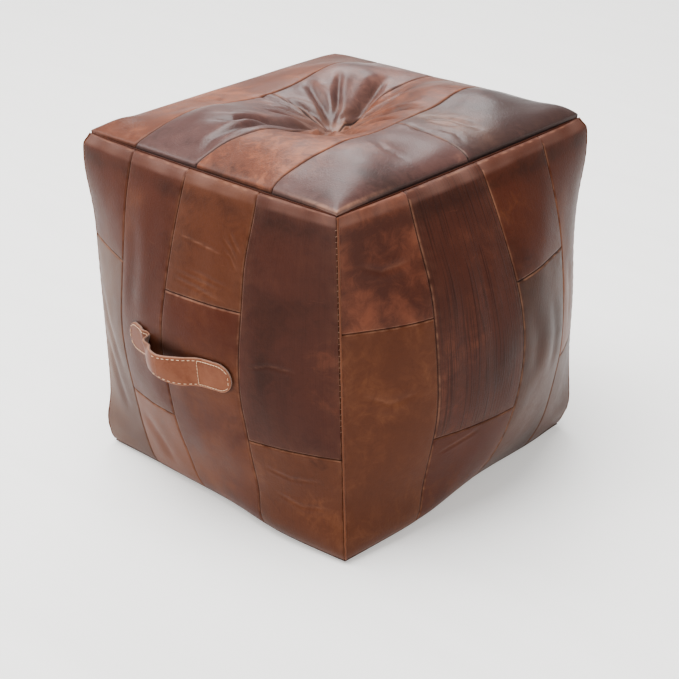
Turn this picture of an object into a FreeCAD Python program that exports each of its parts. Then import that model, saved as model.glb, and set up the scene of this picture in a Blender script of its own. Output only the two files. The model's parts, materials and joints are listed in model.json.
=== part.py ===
"""Leather cube pouf: patchwork cover, zipped base, side handle, blind-tufted top, liner bag and filling.

The frame has +Z up and its origin at the middle of the base, on the floor. The handle is on the front
face, which looks along -Y. Lengths are millimetres.

The cover is a cube sewn from flat leather panels. Its twelve edges stay nearly straight when it is
filled, and each face bellies out between them: a face is one surface of degree two both ways, so its
belly falls off as a parabola towards all four of its edges. The top also has a dip where a twine pulls
it down. Every layer inside the cover is the same shape, drawn in by an offset.
"""

import FreeCAD, Part
import Sketcher
import math
import os

from FreeCAD import Placement, Rotation, Vector

doc = FreeCAD.newDocument("leather_pouf")
sheet = doc.addObject("Spreadsheet::Sheet", "size")

DRIVING = [
    # the cube between its edges, and how far each face bellies out past them
    ("edge_x", 375),
    ("edge_y", 386),
    ("edge_z", 385),
    ("belly_front", 55),
    ("belly_right", 70),
    ("belly_back", 58),
    ("belly_left", 60),
    # the top: its crown, and the dip under the tuft
    ("crown", 40),
    ("dip", 63),
    ("dip_radius", 75),
    ("tuft_x", -19),
    ("tuft_y", 15),
    # layers
    ("leather", 1.6),
    ("ease", 0.4),
    ("calico", 0.8),
    # where the strips of each side face meet, along the face, and the height of each strip's cross seam
    ("front_seam_one", -106),
    ("front_seam_two", -20),
    ("front_seam_three", 84),
    ("front_cross_one", 266),
    ("front_cross_two", 113),
    ("front_cross_three", 262),
    ("front_cross_four", 117),
    ("right_seam_one", -101),
    ("right_seam_two", 10),
    ("right_seam_three", 113),
    ("right_cross_one", 257),
    ("right_cross_two", 118),
    ("right_cross_three", 265),
    ("right_cross_four", 133),
    ("back_seam_one", -98),
    ("back_seam_two", 6),
    ("back_seam_three", 102),
    ("back_cross_one", 118),
    ("back_cross_two", 266),
    ("back_cross_three", 112),
    ("back_cross_four", 262),
    ("left_seam_one", -104),
    ("left_seam_two", -8),
    ("left_seam_three", 98),
    ("left_cross_one", 120),
    ("left_cross_two", 262),
    ("left_cross_three", 116),
    ("left_cross_four", 268),
    # the top's seams, at its front edge and at its back edge, and two cross seams
    ("top_seam_one_front", -110),
    ("top_seam_one_back", -112),
    ("top_seam_two_front", -17),
    ("top_seam_two_back", -21),
    ("top_seam_three_front", 96),
    ("top_seam_three_back", 66),
    ("top_cross_two", 9),
    ("top_cross_four", 3),
    # zip and the channel that it lies in
    ("zip_y", 90),
    ("channel_length", 346),
    ("channel_width", 16),
    ("channel_height", 9),
    ("tape_length", 320),
    ("tape_width", 14),
    ("tape_thick", 0.6),
    ("tape_gap", 1.2),
    ("tooth_pitch", 4),
    ("tooth_count", 74),
    ("tooth_long", 2),
    ("tooth_reach", 3.2),
    ("tooth_high", 2.6),
    ("tooth_gap", 1),
    ("bead_width", 1),
    ("bead_overlap", 0.2),
    ("stop_long", 2.4),
    ("stop_half", 3.6),
    ("stop_gap", 0.6),
    ("slider_length", 12),
    ("slider_width", 12.6),
    ("slider_plate", 1.2),
    ("slider_play", 0.3),
    ("slider_end_play", 0.4),
    ("slider_web", 1.2),
    ("slider_flange", 0.9),
    ("ear_thick", 1.2),
    ("ear_half", 1.5),
    ("ear_below", 0.95),
    ("ear_gap", 4.4),
    ("pin_radius", 0.65),
    ("pin_drop", 1.7),
    ("eye_radius", 0.7),
    ("eye_outer", 1.45),
    ("pull_length", 26),
    ("pull_width", 7),
    ("pull_thick", 1.6),
    ("pull_neck", 4),
    ("pull_shoulder", 3),
    ("pull_hole", 1.5),
    # the liner and the filling step over the channel, this far to its sides and above it
    ("step_side", 9),
    ("step_over", 3.5),
    # handle
    ("handle_z", 187),
    ("strap_width", 33),
    ("strap_face", 1.5),
    ("strap_lining", 1.3),
    ("pad_lift", 0.3),
    ("pad_left_end", -84),
    ("pad_left_start", -49),
    ("pad_right_start", 37),
    ("pad_right_end", 78),
    ("grip_left", -39),
    ("grip_right", 16),
    ("grip_play", 0.3),
    ("stitch_pitch", 6),
    ("stitch_long", 4),
    ("stitch_radius", 0.4),
    ("stitch_inset", 2.6),
    ("stitch_start", 5),
    ("stitch_lift", 0.3),
    # twine and its anchor
    ("twine_radius", 1.4),
    ("twine_play", 0.3),
    ("twine_bar", 7),
    ("anchor_radius", 18),
    ("anchor_thick", 3),
    ("anchor_seat", 1),
    ("knot_radius", 2.4),
    # sewing thread that shows along the cube's edges
    ("thread_radius", 0.5),
    ("thread_out", 1.2),
    ("thread_end", 5),
]
for row, (name, number) in enumerate(DRIVING, start=1):
    sheet.set(f"A{row}", name)
    sheet.set(f"B{row}", str(number))
    sheet.setAlias(f"B{row}", name)
doc.recompute()


def size(name):
    """A driving dimension, read back from the sheet."""
    return float(sheet.get(name))


def cell(name):
    """A driving dimension, as an expression names it."""
    return f"size.{name}"


EDGE_X, EDGE_Y, EDGE_Z = size("edge_x"), size("edge_y"), size("edge_z")
LEATHER, EASE, CALICO = size("leather"), size("ease"), size("calico")
SIDES = ("front", "right", "back", "left")
STRIPS = ("one", "two", "three", "four")
TOP_GRID = 23  # points each way on the top surface
REACH = 200  # how far a cutting block runs past what it cuts

nodes = {}  # node name to document object


def keep(name, thing):
    """Makes a document object one of the object's own pieces."""
    thing.Label = name
    nodes[name] = thing
    return thing


def feature(name, shape):
    """A shape that no primitive or feature fits, as an object of the document."""
    thing = doc.addObject("Part::Feature", name)
    thing.Shape = shape
    return thing


# ---------------------------------------------------------------- the bellied cube


def half_sizes(offset):
    """Half the cube's sides and its lowest and highest edge, drawn in by an offset."""
    return EDGE_X / 2 - offset, EDGE_Y / 2 - offset, offset, EDGE_Z - offset


def corners_of(side, offset):
    """The four corners of a face, in order round it."""
    hx, hy, low, high = half_sizes(offset)
    ring = [(-hx, -hy), (hx, -hy), (hx, hy), (-hx, hy)]
    if side in SIDES:
        start = SIDES.index(side)
        (ax, ay), (bx, by) = ring[start], ring[(start + 1) % 4]
        return [Vector(ax, ay, low), Vector(bx, by, low), Vector(bx, by, high), Vector(ax, ay, high)]
    level = high if side == "top" else low
    return [Vector(x, y, level) for x, y in ring]


def belly_of(side):
    """How far a side face stands out at its middle, as a vector."""
    turn = math.radians(90 * SIDES.index(side) - 90)
    return Vector(math.cos(turn), math.sin(turn), 0) * size(f"belly_{side}")


def bellied_face(corners, belly):
    """A face of degree two both ways with straight edges, whose middle stands out by belly."""
    a, b, c, d = corners
    middle = (a + b + c + d) / 4 + belly * 4
    poles = [[a, (a + b) / 2, b], [(a + d) / 2, middle, (b + c) / 2], [d, (c + d) / 2, c]]
    surface = Part.BSplineSurface()
    surface.buildFromPolesMultsKnots(poles, [3, 3], [3, 3], [0, 1], [0, 1], False, False, 2, 2)
    return surface.toShape()


def top_rise(x, y, offset):
    """How far the top stands above its edges at a point: the crown less the dip."""
    hx, hy, _, _ = half_sizes(offset)
    fall = (1 - (x / hx) ** 4) * (1 - (y / hy) ** 4)
    away = math.hypot(x - size("tuft_x"), y - size("tuft_y")) / size("dip_radius")
    return fall * (size("crown") - size("dip") / (1 + away**2))


def top_face(offset):
    """The top's surface, through a grid of points."""
    hx, hy, _, high = half_sizes(offset)
    steps = [2 * i / (TOP_GRID - 1) - 1 for i in range(TOP_GRID)]
    grid = [[Vector(hx * u, hy * v, high + top_rise(hx * u, hy * v, offset)) for v in steps] for u in steps]
    surface = Part.BSplineSurface()
    surface.interpolate(grid)
    return surface.toShape()


def flat_face(points):
    return Part.Face(Part.makePolygon(list(points) + [points[0]]))


def skin(side, offset):
    """One face of the cube, drawn in by an offset."""
    if side == "top":
        return top_face(offset)
    if side == "bottom":
        return flat_face(corners_of(side, offset))
    return bellied_face(corners_of(side, offset), belly_of(side))


def solid_from(faces):
    """A closed solid with positive volume from faces that meet edge to edge."""
    shell = Part.makeShell(faces)
    shell.sewShape()
    solid = Part.makeSolid(shell)
    if solid.Volume < 0:
        solid.reverse()
    return solid


def wall(side, outer, inner):
    """The panel of one face: its two skins, and the mitred edges between them."""
    outside, inside = corners_of(side, outer), corners_of(side, inner)
    mitres = [
        flat_face([outside[i], outside[(i + 1) % 4], inside[(i + 1) % 4], inside[i]]) for i in range(4)
    ]
    return solid_from([skin(side, outer), skin(side, inner)] + mitres)


def bellied_cube(offset):
    """The whole filled shape, drawn in by an offset."""
    return solid_from([skin(side, offset) for side in SIDES + ("top", "bottom")])


def front_surface_y(x, z, offset):
    """Where the front face lies at a point of it, drawn in by an offset."""
    hx, hy, low, high = half_sizes(offset)
    u = x / hx
    w = (2 * z - low - high) / (high - low)
    return -(hy + size("belly_front") * (1 - u**2) * (1 - w**2))


def tuft_cylinder(radius, low, high):
    """An upright cylinder on the tuft's axis."""
    return Part.makeCylinder(radius, high - low, Vector(size("tuft_x"), size("tuft_y"), low))


def twine_hole(low, high):
    """The hole that the tufting twine runs in."""
    return tuft_cylinder(size("twine_radius") + size("twine_play"), low, high)


# ---------------------------------------------------------------- patches of the cover


def block(name, low, high):
    """A cutting block whose corners are expressions or plain numbers, each way."""
    thing = doc.addObject("Part::Box", name)
    for axis, length, a, b in zip("xyz", ("Length", "Width", "Height"), low, high):
        thing.setExpression(f"Placement.Base.{axis}", f"{a}")
        thing.setExpression(length, f"({b}) - ({a})")
    return thing


def common(name, base, tool):
    thing = doc.addObject("Part::Common", name)
    thing.Base, thing.Tool = base, tool
    return thing


def seams_along(side):
    """The five limits of a side face's strips, as expressions, in the order of its strips."""
    far = "size.edge_y / 2" if side in ("right", "left") else "size.edge_x / 2"
    inner = [cell(f"{side}_seam_{word}") for word in STRIPS[:3]]
    return [f"-({far}) - {REACH}"] + inner + [f"{far} + {REACH}"]


def side_patches(side):
    """Four strips of two patches each on one side face. Strips run the way X or Y runs."""
    panel = feature(f"{side}_wall", wall(side, 0, LEATHER))
    limits = seams_along(side)
    across = {
        "front": (f"-(size.edge_y / 2) - {REACH}", "0"),
        "back": ("0", f"size.edge_y / 2 + {REACH}"),
        "left": (f"-(size.edge_x / 2) - {REACH}", "0"),
        "right": ("0", f"size.edge_x / 2 + {REACH}"),
    }[side]
    for i, word in enumerate(STRIPS):
        cross = cell(f"{side}_cross_{word}")
        for row, bottom, top in (("lower", f"-{REACH}", cross), ("upper", cross, f"size.edge_z + {REACH}")):
            along = (limits[i], limits[i + 1])
            low, high = zip(along, across) if side in ("front", "back") else zip(across, along)
            name = f"{side}_patch_{i + 1}_{row}"
            tool = block(f"{name}_block", [*low, bottom], [*high, top])
            keep(name, common(name, panel, tool))


def slanted_block(name, left, right, low_y="-size.edge_y / 2", high_y="size.edge_y / 2"):
    """A block from the top's front edge to its back edge, whose sides may slant, as two seams do."""
    thing = doc.addObject("Part::Wedge", name)
    ends = {
        "Xmin": left[0],
        "Xmax": right[0],
        "X2min": left[1],
        "X2max": right[1],
        "Ymin": low_y,
        "Ymax": high_y,
        "Zmin": f"-{REACH}",
        "Z2min": f"-{REACH}",
        "Zmax": f"size.edge_z + {REACH}",
        "Z2max": f"size.edge_z + {REACH}",
    }
    for key, expression in ends.items():
        thing.setExpression(key, expression)
    return thing


def top_patches():
    """Four strips from the front edge to the back edge; the second and fourth have a cross seam."""
    panel = feature("top_wall", wall("top", 0, LEATHER).cut(twine_hole(0, 2 * EDGE_Z)))
    seams = [(cell(f"top_seam_{word}_front"), cell(f"top_seam_{word}_back")) for word in STRIPS[:3]]
    limits = [(f"-{REACH * 2}",) * 2] + seams + [(f"{REACH * 2}",) * 2]
    for i, word in enumerate(STRIPS):
        name = f"top_patch_{i + 1}"
        tool = slanted_block(f"{name}_block", limits[i], limits[i + 1])
        strip = common(name, panel, tool)
        if i % 2 == 0:
            keep(name, strip)
            continue
        cross = cell(f"top_cross_{word}")
        span = (f"-{REACH * 2}", f"{REACH * 2}")
        for end, low, high in (("front", f"-{REACH * 2}", cross), ("back", cross, f"{REACH * 2}")):
            corners = ([span[0], low, f"-{REACH}"], [span[1], high, f"size.edge_z + {REACH}"])
            half = block(f"{name}_{end}_block", *corners)
            keep(f"{name}_{end}", common(f"{name}_{end}", strip, half))


# ---------------------------------------------------------------- base, with the channel for the zip


def channel_block(grow, low, high):
    """The zip's channel as a plain block, grown sideways."""
    long, wide = size("channel_length") + 2 * grow, size("channel_width") + 2 * grow
    return Part.makeBox(long, wide, high - low, Vector(-long / 2, size("zip_y") - wide / 2, low))


def base_panels():
    """Two base panels, and a tab between them past each end of the zip. All turn up round the channel."""
    high = size("channel_height")
    lips = channel_block(LEATHER, 0, high).cut(channel_block(0, -1, high + 1))
    floor = wall("bottom", 0, LEATHER).cut(channel_block(LEATHER, -1, high))
    panel = feature("base_wall", floor.fuse(lips).removeSplitter())
    far = f"size.edge_x / 2 + {REACH}"
    near_lip, far_lip = "size.zip_y - size.channel_width / 2", "size.zip_y + size.channel_width / 2"
    end = "size.channel_length / 2"
    under, over = f"-{REACH}", f"{REACH}"
    front = block("base_front_block", [f"-({far})", f"-{REACH * 2}", under], [far, near_lip, over])
    back = block("base_back_block", [f"-({far})", far_lip, under], [far, f"{REACH * 2}", over])
    keep("base_front_panel", common("base_front_panel", panel, front))
    keep("base_back_panel", common("base_back_panel", panel, back))
    tabs = []
    for way, low, top in (("left", f"-({far})", f"-({end})"), ("right", end, far)):
        tool = block(f"zip_end_{way}_block", [low, near_lip, under], [top, far_lip, over])
        tabs.append(common(f"zip_end_tab_{way}", panel, tool))
    both = doc.addObject("Part::Compound", "zip_end_tabs")
    both.Links = tabs
    keep("zip_end_tabs", both)


# ---------------------------------------------------------------- liner bag, filling, tuft


def inner_layers():
    """The liner is a closed bag round the filling; both step over the zip's channel."""
    liner_out, liner_in, fill_out = LEATHER + EASE, LEATHER + EASE + CALICO, LEATHER + 2 * EASE + CALICO
    step = size("channel_height") + size("step_over")
    side = size("step_side")
    bag = bellied_cube(liner_out).cut(channel_block(side, -1, step))
    room = bellied_cube(liner_in).cut(channel_block(side + CALICO, -1, step + CALICO))
    keep("liner_bag", feature("liner_bag", bag.cut(room).cut(twine_hole(EDGE_Z / 2, 2 * EDGE_Z))))
    filling = bellied_cube(fill_out).cut(channel_block(side + CALICO + EASE, -1, step + CALICO + EASE))
    seat = tuft_cylinder(size("anchor_radius") + size("anchor_seat"), 0, anchor_top() + EASE)
    keep("filling", feature("filling", filling.cut(seat).cut(twine_hole(0, 2 * EDGE_Z))))


def anchor_top():
    """The height of the anchor disc's upper face: over the knot, which lies on the liner."""
    return LEATHER + 2 * EASE + CALICO + 2 * size("knot_radius") + size("anchor_thick")


def tuft_surface_z():
    """The height of the cover's outer surface at the tuft."""
    return EDGE_Z + top_rise(size("tuft_x"), size("tuft_y"), 0)


def tuft_anchor():
    """A turned wooden disc with a hole for the twine."""
    body = doc.addObject("PartDesign::Body", "tuft_anchor_body")
    sketch = body.newObject("Sketcher::SketchObject", "tuft_anchor_profile")
    plane = next(f for f in body.Origin.OriginFeatures if f.Role == "XZ_Plane")
    sketch.AttachmentSupport = (plane, [""])
    sketch.MapMode = "FlatFace"
    hole, thick = "size.twine_radius + size.twine_play", "size.anchor_thick"
    rectangle(sketch, hole, "0", f"size.anchor_radius - ({hole})", thick)
    turn = body.newObject("PartDesign::Revolution", "tuft_anchor_turn")
    turn.Profile = sketch
    turn.ReferenceAxis = (sketch, ["V_Axis"])
    turn.Angle = 360
    doc.recompute()
    body.Placement.Base = Vector(size("tuft_x"), size("tuft_y"), anchor_top() - size("anchor_thick"))
    keep("tuft_anchor", body)


def tuft_twine():
    """The twine: a bar over the seam in the dip, a straight run through the filling, and a knot."""
    x, y, long = size("tuft_x"), size("tuft_y"), size("twine_bar")
    low = anchor_top() - size("anchor_thick") - size("knot_radius")
    high = tuft_surface_z() + size("twine_radius") + EASE
    run = doc.addObject("Part::Cylinder", "twine_run")
    run.setExpression("Radius", "size.twine_radius")
    run.Height = high - low
    run.Placement.Base = Vector(x, y, low)
    knot = doc.addObject("Part::Sphere", "twine_knot")
    knot.setExpression("Radius", "size.knot_radius")
    knot.Placement.Base = Vector(x, y, low)
    bar = doc.addObject("Part::Cylinder", "twine_bar")
    bar.setExpression("Radius", "size.twine_radius")
    bar.setExpression("Height", "size.twine_bar")
    bar.Placement = Placement(Vector(x - long / 2, y, high), Rotation(Vector(0, 1, 0), 90))
    whole = doc.addObject("Part::MultiFuse", "tuft_twine")
    whole.Shapes = [run, knot, bar]
    keep("tuft_twine", whole)


# ---------------------------------------------------------------- sketch helpers


def rectangle(sketch, x, y, long, wide):
    """A closed rectangle in a sketch, placed and sized by expressions."""
    x0, y0, dx, dy = [evaluate(e) for e in (x, y, long, wide)]
    points = [Vector(x0, y0, 0), Vector(x0 + dx, y0, 0), Vector(x0 + dx, y0 + dy, 0), Vector(x0, y0 + dy, 0)]
    first = sketch.GeometryCount
    for i in range(4):
        sketch.addGeometry(Part.LineSegment(points[i], points[(i + 1) % 4]), False)
    for i in range(4):
        sketch.addConstraint(Sketcher.Constraint("Coincident", first + i, 2, first + (i + 1) % 4, 1))
    for i in (0, 2):
        sketch.addConstraint(Sketcher.Constraint("Horizontal", first + i))
        sketch.addConstraint(Sketcher.Constraint("Vertical", first + i + 1))
    lengths = (
        (("DistanceX", first, 1, first, 2, dx), long),
        (("DistanceY", first + 1, 1, first + 1, 2, dy), wide),
        (("DistanceX", -1, 1, first, 1, x0), x),
        (("DistanceY", -1, 1, first, 1, y0), y),
    )
    for rule, expression in lengths:
        index = sketch.addConstraint(Sketcher.Constraint(*rule))
        sketch.setExpression(f"Constraints[{index}]", expression)


def level_sketch(body, name, z_expression, rectangles):
    """A level sketch of rectangles in a body, at a height that an expression gives."""
    sketch = body.newObject("Sketcher::SketchObject", name)
    plane = next(f for f in body.Origin.OriginFeatures if f.Role == "XY_Plane")
    sketch.AttachmentSupport = (plane, [""])
    sketch.MapMode = "FlatFace"
    sketch.setExpression("AttachmentOffset.Base.z", z_expression)
    for expressions in rectangles:
        rectangle(sketch, *expressions)
    return sketch


def pad_of(body, name, sketch, height_expression):
    pad = body.newObject("PartDesign::Pad", name)
    pad.Profile = sketch
    pad.setExpression("Length", height_expression)
    doc.recompute()
    return pad


def evaluate(expression):
    """The value of an expression, worked out on the sheet."""
    return float(sheet.evalExpression(expression.replace("size.", "")))


# ---------------------------------------------------------------- zip


def zip_tapes():
    """Two woven tapes, sewn on top of the channel's lips."""
    for name, y in (
        ("zip_tape_front", "size.zip_y - size.tape_gap - size.tape_width"),
        ("zip_tape_back", "size.zip_y + size.tape_gap"),
    ):
        body = doc.addObject("PartDesign::Body", f"{name}_body")
        outline = [("-size.tape_length / 2", y, "size.tape_length", "size.tape_width")]
        sketch = level_sketch(body, f"{name}_sketch", "size.channel_height", outline)
        pad_of(body, f"{name}_pad", sketch, "size.tape_thick")
        keep(name, body)


def zip_teeth():
    """A row of teeth on a bead along each tape. The two rows are half a pitch apart."""
    level = "size.channel_height - size.tooth_high"
    start = "-size.tooth_pitch * size.tooth_count / 2"
    inner_end = "size.tooth_gap + size.tooth_reach"
    rows = (
        (
            "zip_teeth_front",
            f"size.zip_y - ({inner_end})",
            f"size.zip_y - ({inner_end}) - size.bead_width + size.bead_overlap",
            "0",
        ),
        (
            "zip_teeth_back",
            "size.zip_y + size.tooth_gap",
            f"size.zip_y + {inner_end} - size.bead_overlap",
            "size.tooth_pitch / 2",
        ),
    )
    for name, tooth_y, bead_y, shift in rows:
        body = doc.addObject("PartDesign::Body", f"{name}_body")
        bead = [(start, bead_y, "size.tooth_pitch * size.tooth_count", "size.bead_width")]
        pad_of(body, f"{name}_bead", level_sketch(body, f"{name}_bead_sketch", level, bead), "size.tooth_high")
        tooth = [(f"{start} + {shift}", tooth_y, "size.tooth_long", "size.tooth_reach")]
        sketch = level_sketch(body, f"{name}_tooth_sketch", level, tooth)
        row = body.newObject("PartDesign::LinearPattern", f"{name}_row")
        row.Originals = [pad_of(body, f"{name}_tooth", sketch, "size.tooth_high")]
        row.Direction = (sketch, ["H_Axis"])
        row.setExpression("Length", "size.tooth_pitch * (size.tooth_count - 1)")
        row.setExpression("Occurrences", "size.tooth_count")
        body.Tip = row
        doc.recompute()
        keep(name, body)


STOP_FACE = "size.tooth_pitch * size.tooth_count / 2 + size.stop_gap"


def zip_stops():
    """A crimped block at each end of the teeth."""
    stops = []
    for name, low_x, high_x in (
        ("zip_stop_left", f"-({STOP_FACE}) - size.stop_long", f"-({STOP_FACE})"),
        ("zip_stop_right", STOP_FACE, f"{STOP_FACE} + size.stop_long"),
    ):
        low = [low_x, "size.zip_y - size.stop_half", "size.channel_height - size.tooth_high"]
        stops.append(block(name, low, [high_x, "size.zip_y + size.stop_half", "size.channel_height"]))
    both = doc.addObject("Part::Compound", "zip_stops")
    both.Links = stops
    keep("zip_stops", both)


# the slider rests against the left stop, and its pull hangs on a pin below it
SLIDER_X = f"-({STOP_FACE}) + size.slider_end_play + size.slider_length / 2"
SLIDER_UNDER = "size.channel_height - size.tooth_high - size.slider_play - size.slider_plate"
PIN_Z = f"{SLIDER_UNDER} - size.pin_drop"


def zip_slider():
    """Two plates round the teeth, joined by a thin web, with side flanges and ears for the pull."""
    over = "size.channel_height + size.tape_thick + size.slider_play"
    left, right = f"{SLIDER_X} - size.slider_length / 2", f"{SLIDER_X} + size.slider_length / 2"
    near, far = "size.zip_y - size.slider_width / 2", "size.zip_y + size.slider_width / 2"
    flange_top = "size.channel_height - size.slider_play"
    under_top, over_top = f"{SLIDER_UNDER} + size.slider_plate", f"{over} + size.slider_plate"
    lower = block("slider_lower", [left, near, SLIDER_UNDER], [right, far, under_top])
    upper = block("slider_upper", [left, near, over], [right, far, over_top])
    web = block(
        "slider_web_block",
        [left, "size.zip_y - size.slider_web / 2", SLIDER_UNDER],
        [right, "size.zip_y + size.slider_web / 2", over_top],
    )
    near_in, far_in = f"{near} + size.slider_flange", f"{far} - size.slider_flange"
    flanges = [
        block("slider_flange_front", [left, near, SLIDER_UNDER], [right, near_in, flange_top]),
        block("slider_flange_back", [left, far_in, SLIDER_UNDER], [right, far, flange_top]),
    ]
    ears = []
    for name, y in (
        ("slider_ear_front", "size.zip_y - size.ear_gap / 2 - size.ear_thick"),
        ("slider_ear_back", "size.zip_y + size.ear_gap / 2"),
    ):
        low = [f"{SLIDER_X} - size.ear_half", y, f"{PIN_Z} - size.ear_below"]
        ears.append(block(name, low, [f"{SLIDER_X} + size.ear_half", f"{y} + size.ear_thick", SLIDER_UNDER]))
    pin = doc.addObject("Part::Cylinder", "slider_pin")
    pin.setExpression("Radius", "size.pin_radius")
    pin.setExpression("Height", "size.ear_gap + 2 * size.ear_thick")
    pin_end = size("zip_y") + size("ear_gap") / 2 + size("ear_thick")
    pin_place = Vector(evaluate(SLIDER_X), pin_end, evaluate(PIN_Z))
    pin.Placement = Placement(pin_place, Rotation(Vector(1, 0, 0), 90))
    whole = doc.addObject("Part::MultiFuse", "zip_slider")
    whole.Shapes = [lower, upper, web, *flanges, *ears, pin]
    whole.Refine = True
    keep("zip_slider", whole)


def zip_pull():
    """A flat tab: an eye round the slider's pin, a neck between the ears, and a wider blade."""
    thick, neck, wide, long = size("pull_thick"), size("pull_neck"), size("pull_width"), size("pull_length")
    shoulder, hole = size("pull_shoulder"), size("pull_hole")
    chamfer = wide / 4
    outline = [
        (0, neck / 2),
        (shoulder, neck / 2),
        (2 * shoulder, wide / 2),
        (long - chamfer, wide / 2),
        (long, wide / 2 - chamfer),
    ]
    points = outline + [(px, -py) for px, py in reversed(outline)]
    blade = flat_face([Vector(px, py, -thick / 2) for px, py in points]).extrude(Vector(0, 0, thick))
    across = Vector(0, 1, 0)
    barrel = Part.makeCylinder(size("eye_outer"), neck, Vector(0, -neck / 2, 0), across)
    eye = Part.makeCylinder(size("eye_radius"), 2 * neck, Vector(0, -neck, 0), across)
    thumb = Part.makeCylinder(hole, 2 * thick, Vector(long - wide / 2 - hole, 0, -thick))
    thing = feature("zip_pull", blade.fuse(barrel).cut(eye).cut(thumb).removeSplitter())
    thing.Placement.Base = Vector(evaluate(SLIDER_X), size("zip_y"), evaluate(PIN_Z))
    keep("zip_pull", thing)


# ---------------------------------------------------------------- handle

# The strap's inner side: places along the face, and how far it stands off the face there. It leaves
# the left end steeply, bows out most a third of the way along, and comes down slowly to the right end.
STRAP_LINE = [
    (-52, 0.3),
    (-47, 3.5),
    (-42, 12),
    (-37, 18),
    (-29, 21),
    (-18, 20.5),
    (-8, 18.3),
    (4, 14.2),
    (18, 8.6),
    (30, 3),
    (40, 0.3),
]


def strap_curve():
    """The strap's inner side, seen from above, at the handle's height."""
    curve = Part.BSplineCurve()
    curve.interpolate([Vector(x, front_surface_y(x, size("handle_z"), 0) - gap, 0) for x, gap in STRAP_LINE])
    return curve


def outward(curve, at):
    """The strap curve's unit normal, away from the face, at a parameter."""
    along = curve.tangent(at)[0]
    return Vector(along.y, -along.x, 0).normalize()


def strap_band(inner, outer):
    """The strap between its ends, as a band of leather between two depths from its inner side."""
    curve = strap_curve()
    steps = 41
    first, last = curve.FirstParameter, curve.LastParameter
    places = [first + (last - first) * i / (steps - 1) for i in range(steps)]
    sides = []
    for depth in (inner, outer):
        side = Part.BSplineCurve()
        side.interpolate([curve.value(at) + outward(curve, at) * depth for at in places])
        sides.append(side)
    near, far = sides
    ends = [
        Part.LineSegment(near.value(near.FirstParameter), far.value(far.FirstParameter)),
        Part.LineSegment(near.value(near.LastParameter), far.value(far.LastParameter)),
    ]
    face = Part.Face(Part.Wire(Part.__sortEdges__([line.toShape() for line in sides + ends])))
    wide = size("strap_width")
    band = face.extrude(Vector(0, 0, wide))
    band.translate(Vector(0, 0, size("handle_z") - wide / 2))
    return band


def x_slab(low, high):
    """Everything between two upright planes across the handle."""
    return Part.makeBox(high - low, 2 * EDGE_Y, EDGE_Z, Vector(low, -2 * EDGE_Y, 0))


def pad_outline(start, end):
    """The prism of one sewn end: straight where the strap begins, half round at its tip."""
    z, half = size("handle_z"), size("strap_width") / 2
    way = 1 if end > start else -1
    centre = end - way * half
    corner = Vector(min(start, centre), -2 * EDGE_Y, z - half)
    box = Part.makeBox(abs(centre - start), 2 * EDGE_Y, 2 * half, corner)
    tip = Part.makeCylinder(half, 2 * EDGE_Y, Vector(centre, -2 * EDGE_Y, z), Vector(0, 1, 0))
    return box.fuse(tip).removeSplitter()


def handle_ends():
    """Each end is sewn flat to the face, and rises from it to where the free part begins."""
    thick = size("strap_face") + size("strap_lining")
    lift = size("pad_lift")
    on_face = wall("front", -lift - thick, -lift)
    band = strap_band(0, thick)
    inside = bellied_cube(-lift)
    left_stop, right_stop = size("grip_left") - size("grip_play"), size("grip_right") + size("grip_play")
    for end, low, high in (("left", -EDGE_X, left_stop), ("right", right_stop, EDGE_X)):
        pad = on_face.common(pad_outline(size(f"pad_{end}_start"), size(f"pad_{end}_end")))
        rise = band.common(x_slab(low, high)).cut(inside)
        keep(f"handle_end_{end}", feature(f"handle_end_{end}", pad.fuse(rise).removeSplitter()))


def handle_grip():
    """The free part of the strap: its leather face, and the lining behind it."""
    face, lining = size("strap_face"), size("strap_lining")
    middle = x_slab(size("grip_left"), size("grip_right"))
    keep("handle_grip", feature("handle_grip", strap_band(lining, lining + face).common(middle)))
    keep("handle_lining", feature("handle_lining", strap_band(0, lining).common(middle)))


def stitch_between(a, b):
    return Part.makeCylinder(size("stitch_radius"), (b - a).Length, a, b - a)


def end_stitch_line(start, end):
    """The stitched line of one sewn end: out along it, round its tip, back, and across. A point at s."""
    z, inset = size("handle_z"), size("stitch_inset")
    half = size("strap_width") / 2 - inset
    way = 1 if end > start else -1
    x0, x1 = start + way * size("stitch_start"), end - way * (half + inset)
    straight, turn = abs(x1 - x0), math.pi * half
    total = 2 * straight + turn + 2 * half

    def at(s):
        s = s % total
        if s < straight:
            return x0 + way * s, z - half
        if s < straight + turn:
            angle = (s - straight) / half
            return x1 + way * half * math.sin(angle), z - half * math.cos(angle)
        if s < 2 * straight + turn:
            return x1 - way * (s - straight - turn), z + half
        return x0, z + half - (s - 2 * straight - turn)

    return at, total


def end_stitches():
    """Thread round each sewn end, and across it where the free part begins."""
    pitch, long = size("stitch_pitch"), size("stitch_long")
    out = size("pad_lift") + size("strap_face") + size("strap_lining")
    out += size("stitch_radius") + size("stitch_lift")
    stitches = []
    for end in ("left", "right"):
        at, total = end_stitch_line(size(f"pad_{end}_start"), size(f"pad_{end}_end"))
        count = round(total / pitch)
        for i in range(count):
            middle = total * (i + 0.5) / count
            points = [at(middle - long / 2), at(middle + long / 2)]
            stitches.append(stitch_between(*[Vector(x, front_surface_y(x, z, -out), z) for x, z in points]))
    keep("handle_end_stitches", feature("handle_end_stitches", Part.makeCompound(stitches)))


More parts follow.
